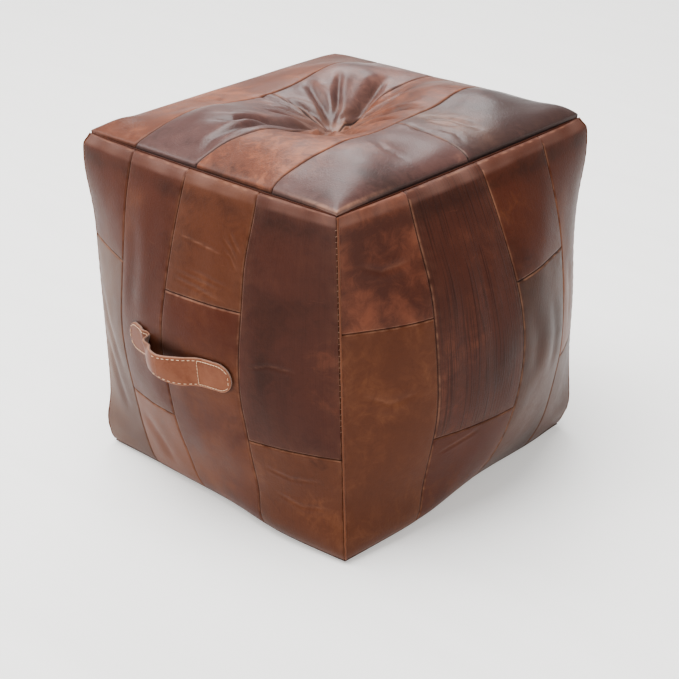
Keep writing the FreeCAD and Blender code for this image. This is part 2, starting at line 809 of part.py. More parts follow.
def grip_stitches():
    """Two rows of thread along the free part."""
    half = size("strap_width") / 2 - size("stitch_inset")
    lift = size("strap_face") + size("strap_lining") + size("stitch_radius") + size("stitch_lift")
    pitch, long = size("stitch_pitch"), size("stitch_long")
    curve = strap_curve()
    low, high = size("grip_left") + pitch, size("grip_right") - pitch / 2
    count = int((high - low) / pitch)
    stitches = []
    for row in (-half, half):
        for i in range(count):
            x = low + (high - low) * (i + 0.5) / count
            crossing = curve.intersectCC(Part.LineSegment(Vector(x, -2 * EDGE_Y, 0), Vector(x, 0, 0)))[0]
            at = curve.parameter(Vector(crossing.X, crossing.Y, 0))
            middle = curve.value(at) + outward(curve, at) * lift + Vector(0, 0, size("handle_z") + row)
            step = curve.tangent(at)[0] * (long / 2)
            stitches.append(stitch_between(middle - step, middle + step))
    keep("handle_grip_stitches", feature("handle_grip_stitches", Part.makeCompound(stitches)))


# ---------------------------------------------------------------- thread along the cube's edges


def edge_threads():
    """The sewing thread of the cube's twelve edge seams, laid straight along each edge."""
    out, radius, clear = size("thread_out"), size("thread_radius"), size("thread_end")
    hx, hy = EDGE_X / 2, EDGE_Y / 2
    upright = []
    for sx in (-1, 1):
        for sy in (-1, 1):
            thing = doc.addObject("Part::Cylinder", "corner_thread")
            thing.setExpression("Radius", "size.thread_radius")
            thing.setExpression("Height", "size.edge_z - 2 * size.thread_end")
            thing.Placement.Base = Vector(sx * (hx + out / 2), sy * (hy + out / 2), clear)
            upright.append(thing)
    corners = doc.addObject("Part::Compound", "corner_seam_threads")
    corners.Links = upright
    keep("corner_seam_threads", corners)
    level = []
    for z in (2 * radius, EDGE_Z):
        for turn, half, reach in ((0, hx, hy), (90, hy, hx), (180, hx, hy), (270, hy, hx)):
            thing = doc.addObject("Part::Cylinder", "rim_thread")
            thing.setExpression("Radius", "size.thread_radius")
            thing.Height = 2 * (half - clear)
            spin = Rotation(Vector(0, 0, 1), turn)
            start = spin.multVec(Vector(-(half - clear), -(reach + out), z))
            thing.Placement = Placement(start, spin * Rotation(Vector(0, 1, 0), 90))
            level.append(thing)
    rims = doc.addObject("Part::Compound", "rim_seam_threads")
    rims.Links = level
    keep("rim_seam_threads", rims)


# ---------------------------------------------------------------- build, check and write


def write_parts():
    """Stops on any object that failed, then writes one file for each node."""
    doc.recompute()
    failed = [o.Label for o in doc.Objects if {"Invalid", "Error"} & set(o.State)]
    if failed:
        raise RuntimeError(f"these objects failed: {failed}")
    os.makedirs("parts", exist_ok=True)
    for name, thing in nodes.items():
        shape = thing.Shape
        if shape.isNull() or not shape.isValid() or shape.Volume <= 0:
            raise RuntimeError(f"{name} has no valid shape")
    for old in os.listdir("parts"):
        os.remove(os.path.join("parts", old))
    for name, thing in nodes.items():
        thing.Shape.exportStep(os.path.join("parts", f"{name}.step"))
        print(f"{name}: {len(thing.Shape.Solids)} solids, {thing.Shape.Volume:.0f} mm3")


for face_name in SIDES:
    side_patches(face_name)
top_patches()
base_panels()
inner_layers()
tuft_anchor()
tuft_twine()
zip_tapes()
zip_teeth()
zip_stops()
zip_slider()
zip_pull()
handle_ends()
handle_grip()
end_stitches()
grip_stitches()
edge_threads()
write_parts()
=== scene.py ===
import json
import math

import bmesh
import bpy
import numpy as np
from mathutils import Matrix, Vector


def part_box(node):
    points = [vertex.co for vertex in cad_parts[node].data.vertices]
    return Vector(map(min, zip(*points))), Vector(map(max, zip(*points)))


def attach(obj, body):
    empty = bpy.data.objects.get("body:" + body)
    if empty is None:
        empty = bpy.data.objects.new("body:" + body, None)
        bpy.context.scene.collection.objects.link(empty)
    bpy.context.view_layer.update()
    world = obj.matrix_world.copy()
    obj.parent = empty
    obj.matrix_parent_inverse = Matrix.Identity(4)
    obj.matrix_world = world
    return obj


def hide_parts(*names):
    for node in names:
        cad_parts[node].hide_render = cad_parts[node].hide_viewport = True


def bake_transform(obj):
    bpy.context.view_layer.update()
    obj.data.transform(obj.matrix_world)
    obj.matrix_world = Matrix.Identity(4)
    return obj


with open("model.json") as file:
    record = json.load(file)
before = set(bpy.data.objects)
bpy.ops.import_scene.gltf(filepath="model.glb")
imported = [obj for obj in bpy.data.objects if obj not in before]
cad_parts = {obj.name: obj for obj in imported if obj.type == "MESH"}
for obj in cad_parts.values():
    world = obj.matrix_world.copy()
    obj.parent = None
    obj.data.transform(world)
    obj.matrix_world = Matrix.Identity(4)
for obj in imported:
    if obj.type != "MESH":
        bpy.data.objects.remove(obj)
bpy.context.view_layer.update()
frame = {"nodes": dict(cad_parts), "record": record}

# The looks of the leather cube pouf. Shapes are worked out in millimetres and written in metres.

MM = 0.001
rng = np.random.default_rng(7)

# ---- sizes read from the frame


def box_mm(node):
    """A CAD node's lowest and highest corner, in millimetres."""
    low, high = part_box(node)
    return np.array(low) / MM, np.array(high) / MM


SIDES = ("front", "right", "back", "left")
TURNED = ("front", "right")  # the sides whose grids of points run the other way round
HALF_X, HALF_Y = -box_mm("top_patch_1")[0][:2]
EDGE_Z = box_mm("front_patch_2_upper")[1][2]
ALONG = {"front": 0, "right": 1, "back": 0, "left": 1}  # the axis that a side's strips are numbered along
HALF_ALONG = {side: (HALF_X, HALF_Y)[ALONG[side]] for side in SIDES}
HALF_OUT = {side: (HALF_Y, HALF_X)[ALONG[side]] for side in SIDES}


def belly_of(side):
    """How far a side's middle stands out past its edges."""
    nodes = [f"{side}_patch_{i}_{row}" for i in range(1, 5) for row in ("lower", "upper")]
    return max(np.abs(box_mm(node))[:, 1 - ALONG[side]].max() for node in nodes) - HALF_OUT[side]


BELLY = {side: belly_of(side) for side in SIDES}
LIMITS = {  # where each side's strips begin and end
    side: [-HALF_ALONG[side]]
    + [box_mm(f"{side}_patch_{i}_lower")[1][ALONG[side]] for i in (1, 2, 3)]
    + [HALF_ALONG[side]]
    for side in SIDES
}
CROSS = {side: [box_mm(f"{side}_patch_{i}_lower")[1][2] for i in range(1, 5)] for side in SIDES}
TUFT_LOW, TUFT_HIGH = box_mm("tuft_twine")
TUFT = (TUFT_LOW + TUFT_HIGH)[:2] / 2
ZIP_Y = sum(b[1] for b in box_mm("zip_stops")) / 2
CHANNEL_HIGH = box_mm("zip_tape_front")[0][2]
CHANNEL_HALF = ZIP_Y - box_mm("base_front_panel")[1][1]
CHANNEL_PAST_TAPE = 13
CHANNEL_END = box_mm("zip_tape_front")[1][0] + CHANNEL_PAST_TAPE
GRIP_LOW, GRIP_HIGH = box_mm("handle_grip")
HANDLE_Z, STRAP_HALF = (GRIP_HIGH + GRIP_LOW)[2] / 2, (GRIP_HIGH - GRIP_LOW)[2] / 2

# ---- small maths


def smooth(t):
    """From 0 to 1 as t does, level at both ends."""
    t = np.clip(t, 0, 1)
    return t * t * (3 - 2 * t)


def bump(t):
    """1 at 0, falling off both ways."""
    return np.exp(-(t**2))


def edge_of(inset, full, fade):
    """1 as far in from an edge as full, and down to 0 over the fade."""
    return 1 - smooth((inset - full) / fade)


def slow_waves(x, y, wavelength, seed, z=0):
    """Soft waves from about -1 to 1, from a few seeded directions."""
    own = np.random.default_rng(seed)
    total = 0
    for _ in range(7):
        way = own.normal(size=3)
        way *= 2 * math.pi / wavelength / np.linalg.norm(way) * own.uniform(0.6, 1.5)
        total = total + np.sin(x * way[0] + y * way[1] + z * way[2] + own.uniform(0, 6.3))
    return total / 3.2


def to_line(x, y, line):
    """The distance from points in plan to a line through corners, and how far along it they are, 0 to 1."""
    line = np.array(line, float)
    steps = np.linalg.norm(np.diff(line, axis=0), axis=1)
    total, run = steps.sum(), 0
    near, share = np.full(np.shape(x), 1e9), np.zeros(np.shape(x))
    for a, b, step in zip(line[:-1], line[1:], steps):
        way = (b - a) / step
        t = np.clip((x - a[0]) * way[0] + (y - a[1]) * way[1], 0, step)
        gap = np.hypot(x - a[0] - way[0] * t, y - a[1] - way[1] * t)
        share = np.where(gap < near, (run + t) / total, share)
        near = np.minimum(gap, near)
        run += step
    return near, share


def run_of(points):
    """How far along a line each of its points is."""
    return np.concatenate([[0], np.cumsum(np.linalg.norm(np.diff(points, axis=0), axis=1))])


def at_runs(places, run, points):
    """The points of a line at given distances along it."""
    return np.stack([np.interp(places, run, column) for column in points.T], 1)


def smooth_line(points, count):
    """A rounded line through points (Catmull-Rom), with evenly spaced places along it."""
    p = np.array(points, float)
    p = np.vstack([2 * p[0] - p[1], p, 2 * p[-1] - p[-2]])
    out = []
    for a, b, c, d in zip(p[:-3], p[1:-2], p[2:-1], p[3:]):
        for t in np.linspace(0, 1, 16, endpoint=False):
            bend = (c - a) * t + (2 * a - 5 * b + 4 * c - d) * t**2 + (3 * b - a - 3 * c + d) * t**3
            out.append(b + bend / 2)
    out = np.array(out + [p[-2]])
    run = run_of(out)
    return at_runs(np.linspace(0, run[-1], count), run, out)


# how far in from a seam the first rows of points lie
RIM_ROWS = np.array([0, 0.4, 0.9, 1.5, 2.3, 3.4, 5, 7.5])


def spread(low, high, step):
    """Places from low to high: close together near both ends, where leather turns down into a seam."""
    inner = np.linspace(low + RIM_ROWS[-1], high - RIM_ROWS[-1], max(3, round((high - low) / step)))
    return np.unique(np.round(np.concatenate([low + RIM_ROWS, inner, high - RIM_ROWS]), 4))


# ---- the cover's shape

# the side panels roll out past the top seam, and tuck in under at the base
TOP_ROLL, ROLL_START, ROLL_FADE = 8.0, 2.5, 26.0
TUCK, TUCK_FADE = 2.0, 6.0
EDGE_REACH = 60.0  # how far a vertical edge's own bends spread into a face
# each vertical edge's bends: how far it stands out both ways, at what height, and how far the bend spreads
EDGE_BENDS = {
    "front": [(-1.5, 236, 62), (1.0, 100, 60), (9, 12, 34)],
    "right": [(-2.0, 236, 62), (-2.5, 100, 60), (-8, 0, 20)],
    "back": [(-4.0, 236, 62), (-2.0, 100, 60), (-6, 0, 20)],
    "left": [(0.5, 236, 62), (-0.5, 100, 60), (4, 30, 25)],
}
# each vertical edge also stands out near the top by this much, less and less within the last few millimetres
PROUD = {"front": 0.5, "right": 5.0, "back": 4.0, "left": 5.0}
PROUD_HEIGHT, PROUD_SPREAD, PROUD_END = 350.0, 46.0, 14.0
CORNER_ROLL = 0.25
BASE_LIFT = {"front": 0.5, "right": 2.0, "back": 2.0, "left": 2.0}
# each top corner is drawn in this much both ways, over a short reach along and down
CORNER_DRAW = {"front": 0.0, "right": 2.5, "back": 5.0, "left": 1.8}
DRAW_REACH, DRAW_FALL = 17.0, 9.0
# the foot of each face: places along it, how far it stands out there, and how far each bend spreads
FOOT = {
    "front": [(98, 14, 72), (-40, 4, 80)],
    "right": [(-98, 13, 72), (60, -3, 70)],
    "back": [(-60, 5, 70)],
    "left": [(40, 4, 70)],
}
FOOT_HEIGHT, FOOT_SPREAD = 12.0, 34.0
SEAM_LIFT, LIFT_FADE = 1.5, 30.0
BASE_RISE = 26.0  # how near an edge the underside begins to rise to its seam
RIM_DROP, RIM_WIDTH = 1.5, 2.0
THICK = 1.5  # leather
SIDE_SIGN = {"front": -1, "right": 1, "back": 1, "left": -1}
# the corners at a side's low end and high end; a corner is named after the side that ends there
ENDS = {"front": ("left", "front"), "right": ("front", "right")}
ENDS |= {"back": ("back", "right"), "left": ("left", "back")}
CORNER_SIGN = {"front": (1, -1), "right": (1, 1), "back": (-1, 1), "left": (-1, -1)}


def top_roll(z):
    below = EDGE_Z - z
    return TOP_ROLL * (1 - np.exp(-below / ROLL_START)) * np.exp(-below / ROLL_FADE)


def tuck(z):
    return TUCK * bump(z / TUCK_FADE)


def corner_draw(corner, z):
    return CORNER_DRAW[corner] * bump((EDGE_Z - z) / DRAW_FALL)


def corner_shift(corner, z):
    """How far a vertical edge stands out both ways."""
    bends = sum(reach * bump((z - height) / spreads) for reach, height, spreads in EDGE_BENDS[corner])
    proud = PROUD[corner] * bump((z - PROUD_HEIGHT) / PROUD_SPREAD) * smooth((EDGE_Z - z) / PROUD_END)
    return bends + proud + CORNER_ROLL * top_roll(z) - tuck(z)


def lift(side, u):
    """How high the bottom seam stands off the floor."""
    return SEAM_LIFT + BASE_LIFT[side] * (1 - u**2)


def side_flat(side, a, z):
    """A side face before its patches' detail: along the face, out from the middle, and up."""
    half = HALF_ALONG[side]
    u, w = a / half, 2 * z / EDGE_Z - 1
    near = [bump((half + a) / EDGE_REACH), bump((half - a) / EDGE_REACH)]
    low, high = [corner_shift(corner, z) for corner in ENDS[side]]
    out = HALF_OUT[side] + BELLY[side] * (1 - u**2) * (1 - w**2)
    out = out + (top_roll(z) - tuck(z)) * (1 - near[0] - near[1]) + low * near[0] + high * near[1]
    foot = sum(reach * bump((a - middle) / wide) for middle, reach, wide in FOOT[side])
    out = out + foot * (1 - u**8) * bump((z - FOOT_HEIGHT) / FOOT_SPREAD)
    along = a - low * near[0] + high * near[1]
    for corner, gap, way in zip(ENDS[side], (half + a, half - a), (1, -1)):
        drawn = corner_draw(corner, z) * bump(gap / DRAW_REACH)
        out, along = out - drawn, along + way * drawn

    def waves(height, wavelength, number):
        """Low waves that die away at the face's edges."""
        seed = SIDES.index(side) * 10 + number
        return height * (1 - u**4) * (1 - w**4) * slow_waves(a, z, wavelength, seed)

    out = out + waves(1.6, 150, 1) + waves(0.35, 46, 2)
    along = along + waves(1.6, 170, 3)
    return along, out, z + lift(side, u) * bump(z / LIFT_FADE) + waves(1.5, 160, 4)


def place(side, along, out, up):
    """Points of a side face in the frame, as an array whose last axis is x, y, z."""
    out = SIDE_SIGN[side] * out
    pair = (along, out) if ALONG[side] == 0 else (out, along)
    return np.stack([pair[0], pair[1], up + 0 * along], -1)


# creases of the side faces: places along and up a face, depth, width, and how much they are rubbed
SIDE_FOLDS = {
    "front": [
        ([(-15, 324), (20, 321), (58, 317)], 0.3, 1.8, 0.22),
        ([(-14, 279), (25, 275), (66, 268)], 0.5, 1.8, 0.08),
        ([(-12, 286), (24, 283), (60, 280)], 0.45, 1.8, 0.06),
        ([(4, 292), (34, 290), (72, 284)], 0.35, 1.8, 0.05),
        ([(50, 336), (64, 326), (77, 312)], 0.35, 1.8, 0.1),
        ([(58, 342), (70, 330), (79, 322)], 0.35, 1.8, 0.1),
        ([(56, 322), (66, 318), (78, 302)], 0.3, 1.8, 0.08),
        ([(-180, 212), (-160, 172), (-124, 124)], 1.6, 9.0, 0.0),
        ([(-178, 150), (-152, 104), (-128, 62)], 1.6, 9.0, 0.0),
        ([(-98, 96), (-70, 60), (-52, 20)], 1.2, 9.0, 0.0),
        ([(-86, 330), (-80, 270), (-84, 210)], 1.0, 12.0, 0.0),
        ([(94, 92), (130, 84), (170, 88)], 0.6, 2.0, 0.1),
        ([(104, 60), (140, 52), (176, 58)], 0.6, 2.0, 0.1),
        ([(92, 206), (118, 214), (150, 210)], 0.5, 2.0, 0.1),
    ],
    "right": [
        ([(-94, 96), (-66, 104), (-36, 112)], 0.9, 2.0, 0.15),
        ([(-176, 330), (-150, 318), (-112, 322)], 0.7, 3.2, 0.1),
        ([(-178, 190), (-150, 176), (-118, 184)], 0.7, 4.0, 0.08),
        ([(20, 240), (36, 190), (40, 140)], 1.4, 11.0, 0.0),
        ([(70, 236), (84, 180), (80, 120)], 1.4, 10.0, 0.0),
        ([(130, 250), (146, 200), (142, 150)], 1.2, 9.0, 0.0),
        ([(-70, 330), (-66, 230), (-74, 140)], 0.8, 9.0, 0.0),
        ([(-30, 336), (-36, 240), (-28, 150)], 0.8, 8.0, 0.0),
    ],
    "back": [
        ([(-170, 320), (-140, 300), (-110, 306)], 0.9, 4.0, 0.1),
        ([(-86, 230), (-60, 190), (-54, 130)], 1.4, 10.0, 0.0),
        ([(20, 330), (50, 318), (90, 322)], 0.8, 3.6, 0.1),
        ([(114, 96), (140, 84), (172, 90)], 0.8, 3.6, 0.1),
    ],
    "left": [
        ([(-176, 310), (-150, 290), (-116, 296)], 0.9, 4.0, 0.1),
        ([(-80, 240), (-60, 180), (-64, 120)], 1.4, 10.0, 0.0),
        ([(10, 110), (50, 98), (86, 104)], 0.8, 3.6, 0.1),
        ([(120, 250), (140, 200), (134, 140)], 1.3, 10.0, 0.0),
    ],
}


def side_creases(side, a, z):
    """How deep a side face is creased at each point, and how rubbed it is there."""
    depth, rubbed = 0 * a, 0 * a
    for line, deep, width, wear in SIDE_FOLDS[side]:
        gap, share = to_line(a, z, line)
        strength = smooth(share / 0.3) * smooth((1 - share) / 0.3)
        depth = depth + deep * strength * (bump(gap / width) - 0.35 * bump((gap - 2 * width) / (1.3 * width)))
        rubbed = rubbed + wear * strength * bump(gap / (0.45 * width))
    return depth, rubbed


# the top's soft hills and hollows: x, y, how high, and how wide each way
HILLS = {
    "front_left": (-80, -118, 16, 44, 58),
    "front_middle": (0, -128, 8, 60, 45),
    "front_right": (105, -112, 12, 60, 60),
    "back_left": (-95, 110, 11, 50, 55),
    "back_right": (88, 124, 12, 70, 50),
    "all_over": (0, 5, 11, 400, 300),
    "back_valley": (-21, 90, -17, 34, 60),
    "front_of_pit": (18, -42, -15, 48, 38),
    "pit": (-19, 15, -22, 75, 60),
    "pit_middle": (-19, 15, -9, 30, 30),
    "pinch": (-19, 15, -6, 9, 9),
}
EDGE_POWER = 5
# the top panel puffs up just inside its seam, most at the front and the right, over a short round lip
EDGE_PUFF, PUFF_TO_FRONT, PUFF_TO_RIGHT, PUFF_REACH, PUFF_UNEVEN = 4.2, 0.8, 4.2, 13.0, 0.28
CORNER_PUFFS = [(-170, -166, 6, 24), (172, 170, 5, 34)]  # x, y, how much puffier, and how wide
LIP, LIP_REACH = 3.0, 2.4
OVERHANG, OVER_START, OVER_FADE = 0.5, 0.9, 14.0
CORNER_HANG, CORNER_REACH = 2.2, 22.0

# folds that run to the pinched point: corners from the outer end, depth and width
FOLDS = [
    ([(-70, -140), (-38, -114), (-29, -71), (-29, -26), (-19, 8)], 6.5, 6.5),
    ([(-17, -186), (-29, -155), (-23, -135), (-16, -113), (-19, -77), (-20, -30), (-18, 8)], 5.0, 5.0),
    ([(-104, 62), (-87, 50), (-58, 39), (-31, 23), (-22, 17)], 6.5, 6.0),
    ([(-96, 4), (-70, 15), (-48, 19), (-24, 16)], 4.5, 4.5),
    ([(-122, -22), (-106, -6), (-60, 4), (-26, 12)], 2.5, 3.6),
    ([(-50, 142), (-45, 131), (-36, 94), (-15, 36), (-18, 20)], 7.0, 6.5),
    ([(-4, 128), (2, 92), (-2, 50), (-16, 22)], 4.5, 5.0),
    ([(78, 66), (42, 45), (8, 28), (-14, 18)], 4.5, 5.5),
    ([(84, 24), (40, 18), (-12, 15)], 3.0, 4.0),
    ([(80, -30), (36, -12), (-12, 11)], 3.5, 4.5),
    ([(40, -92), (18, -50), (-14, 6)], 3.5, 5.0),
    ([(-72, -50), (-48, -22), (-24, 8)], 3.0, 4.0),
    ([(-88, 100), (-60, 66), (-26, 22)], 3.5, 4.0),
]
# worn wrinkles of the top, most of them near its right edge, in the same form
WRINKLES = [
    ([(84, 29), (118, 51), (138, 51), (158, 53)], 1.8, 4.4),
    ([(104, 30), (126, 36), (140, 42)], 1.0, 3.2),
    ([(128, 20), (150, 25), (166, 18)], 0.9, 3.6),
    ([(96, 8), (116, 2), (128, 6)], 0.8, 3.0),
    ([(-160, -60), (-140, -52), (-118, -58)], 0.8, 4.0),
    ([(112, -60), (136, -70), (160, -66)], 0.7, 4.0),
]
FAN = 20  # fine wrinkles round the pinched point


def fan_wrinkles():
    """Fine wrinkles that fan out of the pinched point all round."""
    lines = []
    for i in range(FAN):
        angle = math.radians(35 + 330 * (i + rng.uniform(-0.3, 0.3)) / FAN)
        start, end = rng.uniform(9, 14), rng.uniform(38, 84)
        turns = angle + rng.uniform(-0.16, 0.16) * np.arange(4)
        line = TUFT + np.linspace(end, start, 4)[:, None] * np.stack([np.cos(turns), np.sin(turns)], 1)
        lines.append((line, rng.uniform(0.7, 1.7), rng.uniform(2.0, 3.0)))
    return lines


CREASES = FOLDS + WRINKLES + fan_wrinkles()


def creases(x, y):
    """The height of all the folds at points of the top, and how strongly each point is creased."""
    height, mark = 0 * x, 0 * x
    for line, depth, width in CREASES:
        gap, share = to_line(x, y, line)
        strength = smooth(share / 0.35) * (0.35 + 0.65 * smooth((1 - share) / 0.2))
        valley, ridge = bump(gap / width), bump((gap - 2.1 * width) / (1.3 * width))
        height = height + depth * strength * (0.3 * ridge - valley)
        mark = np.maximum(mark, strength * valley * min(1, depth / 4))
    return height, mark


def soft_inset(x, y):
    """How far a point of the top is from its nearest edge, rounded where two edges are near."""
    inset_x, inset_y = np.maximum(HALF_X - np.abs(x), 1e-3), np.maximum(HALF_Y - np.abs(y), 1e-3)
    return (inset_x**-2 + inset_y**-2) ** -0.5


def top_draw(x, y):
    """How far a point of the top is drawn in both ways, near a corner."""
    reach = bump((HALF_X - np.abs(x)) / DRAW_REACH) * bump((HALF_Y - np.abs(y)) / DRAW_REACH)
    right = np.where(y < 0, CORNER_DRAW["front"], CORNER_DRAW["right"])
    left = np.where(y < 0, CORNER_DRAW["left"], CORNER_DRAW["back"])
    return reach * np.where(x > 0, right, left)


def top_height(x, y):
    """How far the top stands above its edges, without folds."""
    fall = (1 - np.abs(x / HALF_X) ** EDGE_POWER) * (1 - np.abs(y / HALF_Y) ** EDGE_POWER)
    hills = sum(h * bump((x - cx) / wx) * bump((y - cy) / wy) for cx, cy, h, wx, wy in HILLS.values())
    inset = soft_inset(x, y)
    puff = EDGE_PUFF - PUFF_TO_FRONT * y / HALF_Y + PUFF_TO_RIGHT * x / HALF_X
    puff = puff + sum(more * bump(np.hypot(x - cx, y - cy) / wide) for cx, cy, more, wide in CORNER_PUFFS)
    puff = puff * (1 + PUFF_UNEVEN * slow_waves(x, y, 100, 93))
    puff = puff * (1 - np.exp(-inset / PUFF_REACH)) + LIP * (1 - np.exp(-inset / LIP_REACH))
    lumps = 1.2 * slow_waves(x, y, 120, 91) + 0.4 * slow_waves(x, y, 42, 92)
    return fall * (hills + lumps) + puff


def top_place(x, y, with_folds=True):
    """A point of the top, and how creased it is there."""
    height, mark = top_height(x, y), 0 * x
    insets = HALF_X - np.abs(x), HALF_Y - np.abs(y)
    if with_folds:
        folds, mark = creases(x, y)
        height = height + folds * smooth(np.minimum(*insets) / 25)
    hang = OVERHANG + CORNER_HANG * bump(insets[0] / CORNER_REACH) * bump(insets[1] / CORNER_REACH)
    over_x, over_y = [
        hang * (1 - np.exp(-inset / OVER_START)) * np.exp(-inset / OVER_FADE) - top_draw(x, y)
        for inset in insets
    ]
    return np.stack([x + np.sign(x) * over_x, y + np.sign(y) * over_y, EDGE_Z + height], -1), mark


def foot_edge(side, a):
    """How far a side's lower edge stands out past the plain cube."""
    return side_flat(side, a, 0 * a)[1] - HALF_OUT[side]


def base_place(x, y):
    """A point of the underside: flat on the floor, rising to the bottom seam at its edges."""
    u, v = x / HALF_X, y / HALF_Y
    inset_x, inset_y = HALF_X * (1 - np.abs(u)), HALF_Y * (1 - np.abs(v))
    rise_x = np.where(x < 0, lift("left", v), lift("right", v)) * edge_of(inset_x, 0, BASE_RISE)
    rise_y = np.where(y < 0, lift("front", u), lift("back", u)) * edge_of(inset_y, 0, BASE_RISE)
    over_x = np.where(x < 0, foot_edge("left", y), foot_edge("right", y)) * u**8
    over_y = np.where(y < 0, foot_edge("front", x), foot_edge("back", x)) * v**8
    return np.stack([x + np.sign(x) * over_x, y + np.sign(y) * over_y, np.maximum(rise_x, rise_y)], -1)


# ---- making meshes


def new_object(name, data):
    thing = bpy.data.objects.new(name, data)
    bpy.context.scene.collection.objects.link(thing)
    return thing


def mesh_piece(name, verts, faces, marks=None):
    """A mesh object from points in millimetres, with named values at its points."""
    mesh = bpy.data.meshes.new(name)
    mesh.from_pydata((np.asarray(verts) * MM).tolist(), [], faces)
    for key, values in (marks or {}).items():
        mesh.attributes.new(key, "FLOAT", "POINT").data.foreach_set("value", np.asarray(values, np.float32))
    mesh.polygons.foreach_set("use_smooth", [True] * len(mesh.polygons))
    mesh.update()
    return new_object(name, mesh)


def grid_faces(rows, columns, start=0, flip=False):
    i, j = np.meshgrid(np.arange(rows - 1), np.arange(columns - 1), indexing="ij")
    a = start + i * columns + j
    quads = np.stack([a, a + columns, a + columns + 1, a + 1], -1).reshape(-1, 4)
    return (quads[:, ::-1] if flip else quads).tolist()


def border(rows, columns):
    """The places round the edge of a grid, in order."""
    low = [i * columns for i in range(rows)]
    far = [(rows - 1) * columns + j for j in range(1, columns)]
    high = [i * columns + columns - 1 for i in range(rows - 2, -1, -1)]
    near = [j for j in range(columns - 2, 0, -1)]
    return low + far + high + near


def plate(name, outer, inner, marks=None, flip=False):
    """A closed sheet of leather or cloth between two grids of points."""
    rows, columns = outer.shape[:2]
    count = rows * columns
    ring = border(rows, columns)
    faces = grid_faces(rows, columns, 0, flip) + grid_faces(rows, columns, count, not flip)
    for a, b in zip(ring, ring[1:] + ring[:1]):
        wall = [a, a + count, b + count, b]
        faces.append(wall if flip else wall[::-1])
    verts = np.concatenate([outer.reshape(-1, 3), inner.reshape(-1, 3)])
    both = {key: np.concatenate([v.reshape(-1), v.reshape(-1)]) for key, v in (marks or {}).items()}
    return mesh_piece(name, verts, faces, both)


def tube_parts(points, radius, around=8, start=0):
    """Points and faces of a closed tube along a line. radius is one number or one for each point."""
    points = np.asarray(points, float)
    radius = np.broadcast_to(radius, len(points))
    way = np.gradient(points, axis=0)
    way /= np.linalg.norm(way, axis=1)[:, None]
    guide = np.array([0.0, 0.0, 1.0]) if abs(way[0][2]) < 0.8 else np.array([1.0, 0.0, 0.0])
    side = np.cross(way, guide)
    side /= np.linalg.norm(side, axis=1)[:, None]
    up = np.cross(side, way)
    turn = np.linspace(0, 2 * math.pi, around, endpoint=False)
    rings = points[:, None] + radius[:, None, None] * (
        np.cos(turn)[None, :, None] * side[:, None] + np.sin(turn)[None, :, None] * up[:, None]
    )
    faces = []
    for i in range(len(points) - 1):
        for j in range(around):
            a, b = start + i * around + j, start + i * around + (j + 1) % around
            faces.append([a, b, b + around, a + around])
    last = start + (len(points) - 1) * around
    faces.append([start + j for j in range(around)][::-1])
    faces.append([last + j for j in range(around)])
    return rings.reshape(-1, 3), faces


def tubes(name, lines, radius, around=8):
    """One piece made of several tubes."""
    verts, faces = [], []
    for line in lines:
        ring, more = tube_parts(line, radius, around, sum(len(v) for v in verts))
        verts.append(ring)
        faces += more
    return mesh_piece(name, np.concatenate(verts), faces)


# places along a stitch, and how thick it is there
STITCH_PLACES = np.array([0, 0.08, 0.3, 0.7, 0.92, 1])
STITCH_SHAPE = np.array([0.35, 0.8, 1.0, 1.0, 0.8, 0.35])


def stitches(name, pairs, radius):
    """Short stitches of thread, each bowed up from the leather. A pair is two ends and a lift."""
    t = STITCH_PLACES[:, None]
    lines = [a + (b - a) * t + raise_by * (4 * t * (1 - t)) for a, b, raise_by in pairs]
    return tubes(name, lines, radius * STITCH_SHAPE, 6)


# ---- materials


def srgb(r, g, b):
    """A colour given as it looks on screen, 0 to 255, as the linear values that a shader takes."""
    linear = [c / 255 / 12.92 if c <= 10 else ((c / 255 + 0.055) / 1.055) ** 2.4 for c in (r, g, b)]
    return (*linear, 1.0)


def feed(value, socket):
    """Gives a node's input a fixed value, or links it to another node's output."""
    if isinstance(value, Value):
        socket.id_data.links.new(value.socket, socket)
    else:
        socket.default_value = value


def add(tree, kind, values, output=0, **settings):
    """One output of a new node, made with these settings and these inputs."""
    made = tree.nodes.new(kind)
    for key, value in settings.items():
        setattr(made, key, value)
    for key, value in values.items():
        feed(value, made.inputs[key])
    return Value(made.outputs[output])


class Value:
    """A shader node's output. Arithmetic with it adds the nodes that work the result out."""

    def __init__(self, socket):
        self.socket, self.tree = socket, socket.id_data

    def maths(self, operation, other):
        return add(self.tree, "ShaderNodeMath", {0: self, 1: other}, operation=operation)

    def __add__(self, other):
        return self.maths("ADD", other)

    def __sub__(self, other):
        return self.maths("SUBTRACT", other)

    def __mul__(self, other):
        return self.maths("MULTIPLY", other)

    def clamped(self):
        """Held between 0 and 1."""
        self.socket.node.use_clamp = True
        return self

    def ranged(self, low, high, to_low=0.0, to_high=1.0):
        """From to_low to to_high as this goes from low to high, level at both ends."""
        values = {"Value": self, "From Min": low, "From Max": high, "To Min": to_low, "To Max": to_high}
        return add(self.tree, "ShaderNodeMapRange", values, interpolation_type="SMOOTHSTEP")

    def noise(self, scale, detail=4.0, rough=0.55, twist=0.0):
        """Cloudy noise over these coordinates."""
        values = {"Vector": self, "Scale": scale, "Detail": detail, "Roughness": rough, "Distortion": twist}
        return add(self.tree, "ShaderNodeTexNoise", values, "Fac")

    def cells(self, scale, feature):
        """Distances in a pattern of cells over these coordinates."""
        values = {"Vector": self, "Scale": scale}
        return add(self.tree, "ShaderNodeTexVoronoi", values, "Distance", feature=feature)


def mix(share, a, b):
    """A colour part of the way from a to b."""
    return add(share.tree, "ShaderNodeMix", {0: share, 6: a, 7: b}, 2, data_type="RGBA")


def relief(height, strength, distance):
    """Small bumps of up to a distance in metres."""
    return add(height.tree, "ShaderNodeBump", {"Strength": strength, "Distance": distance, "Height": height})


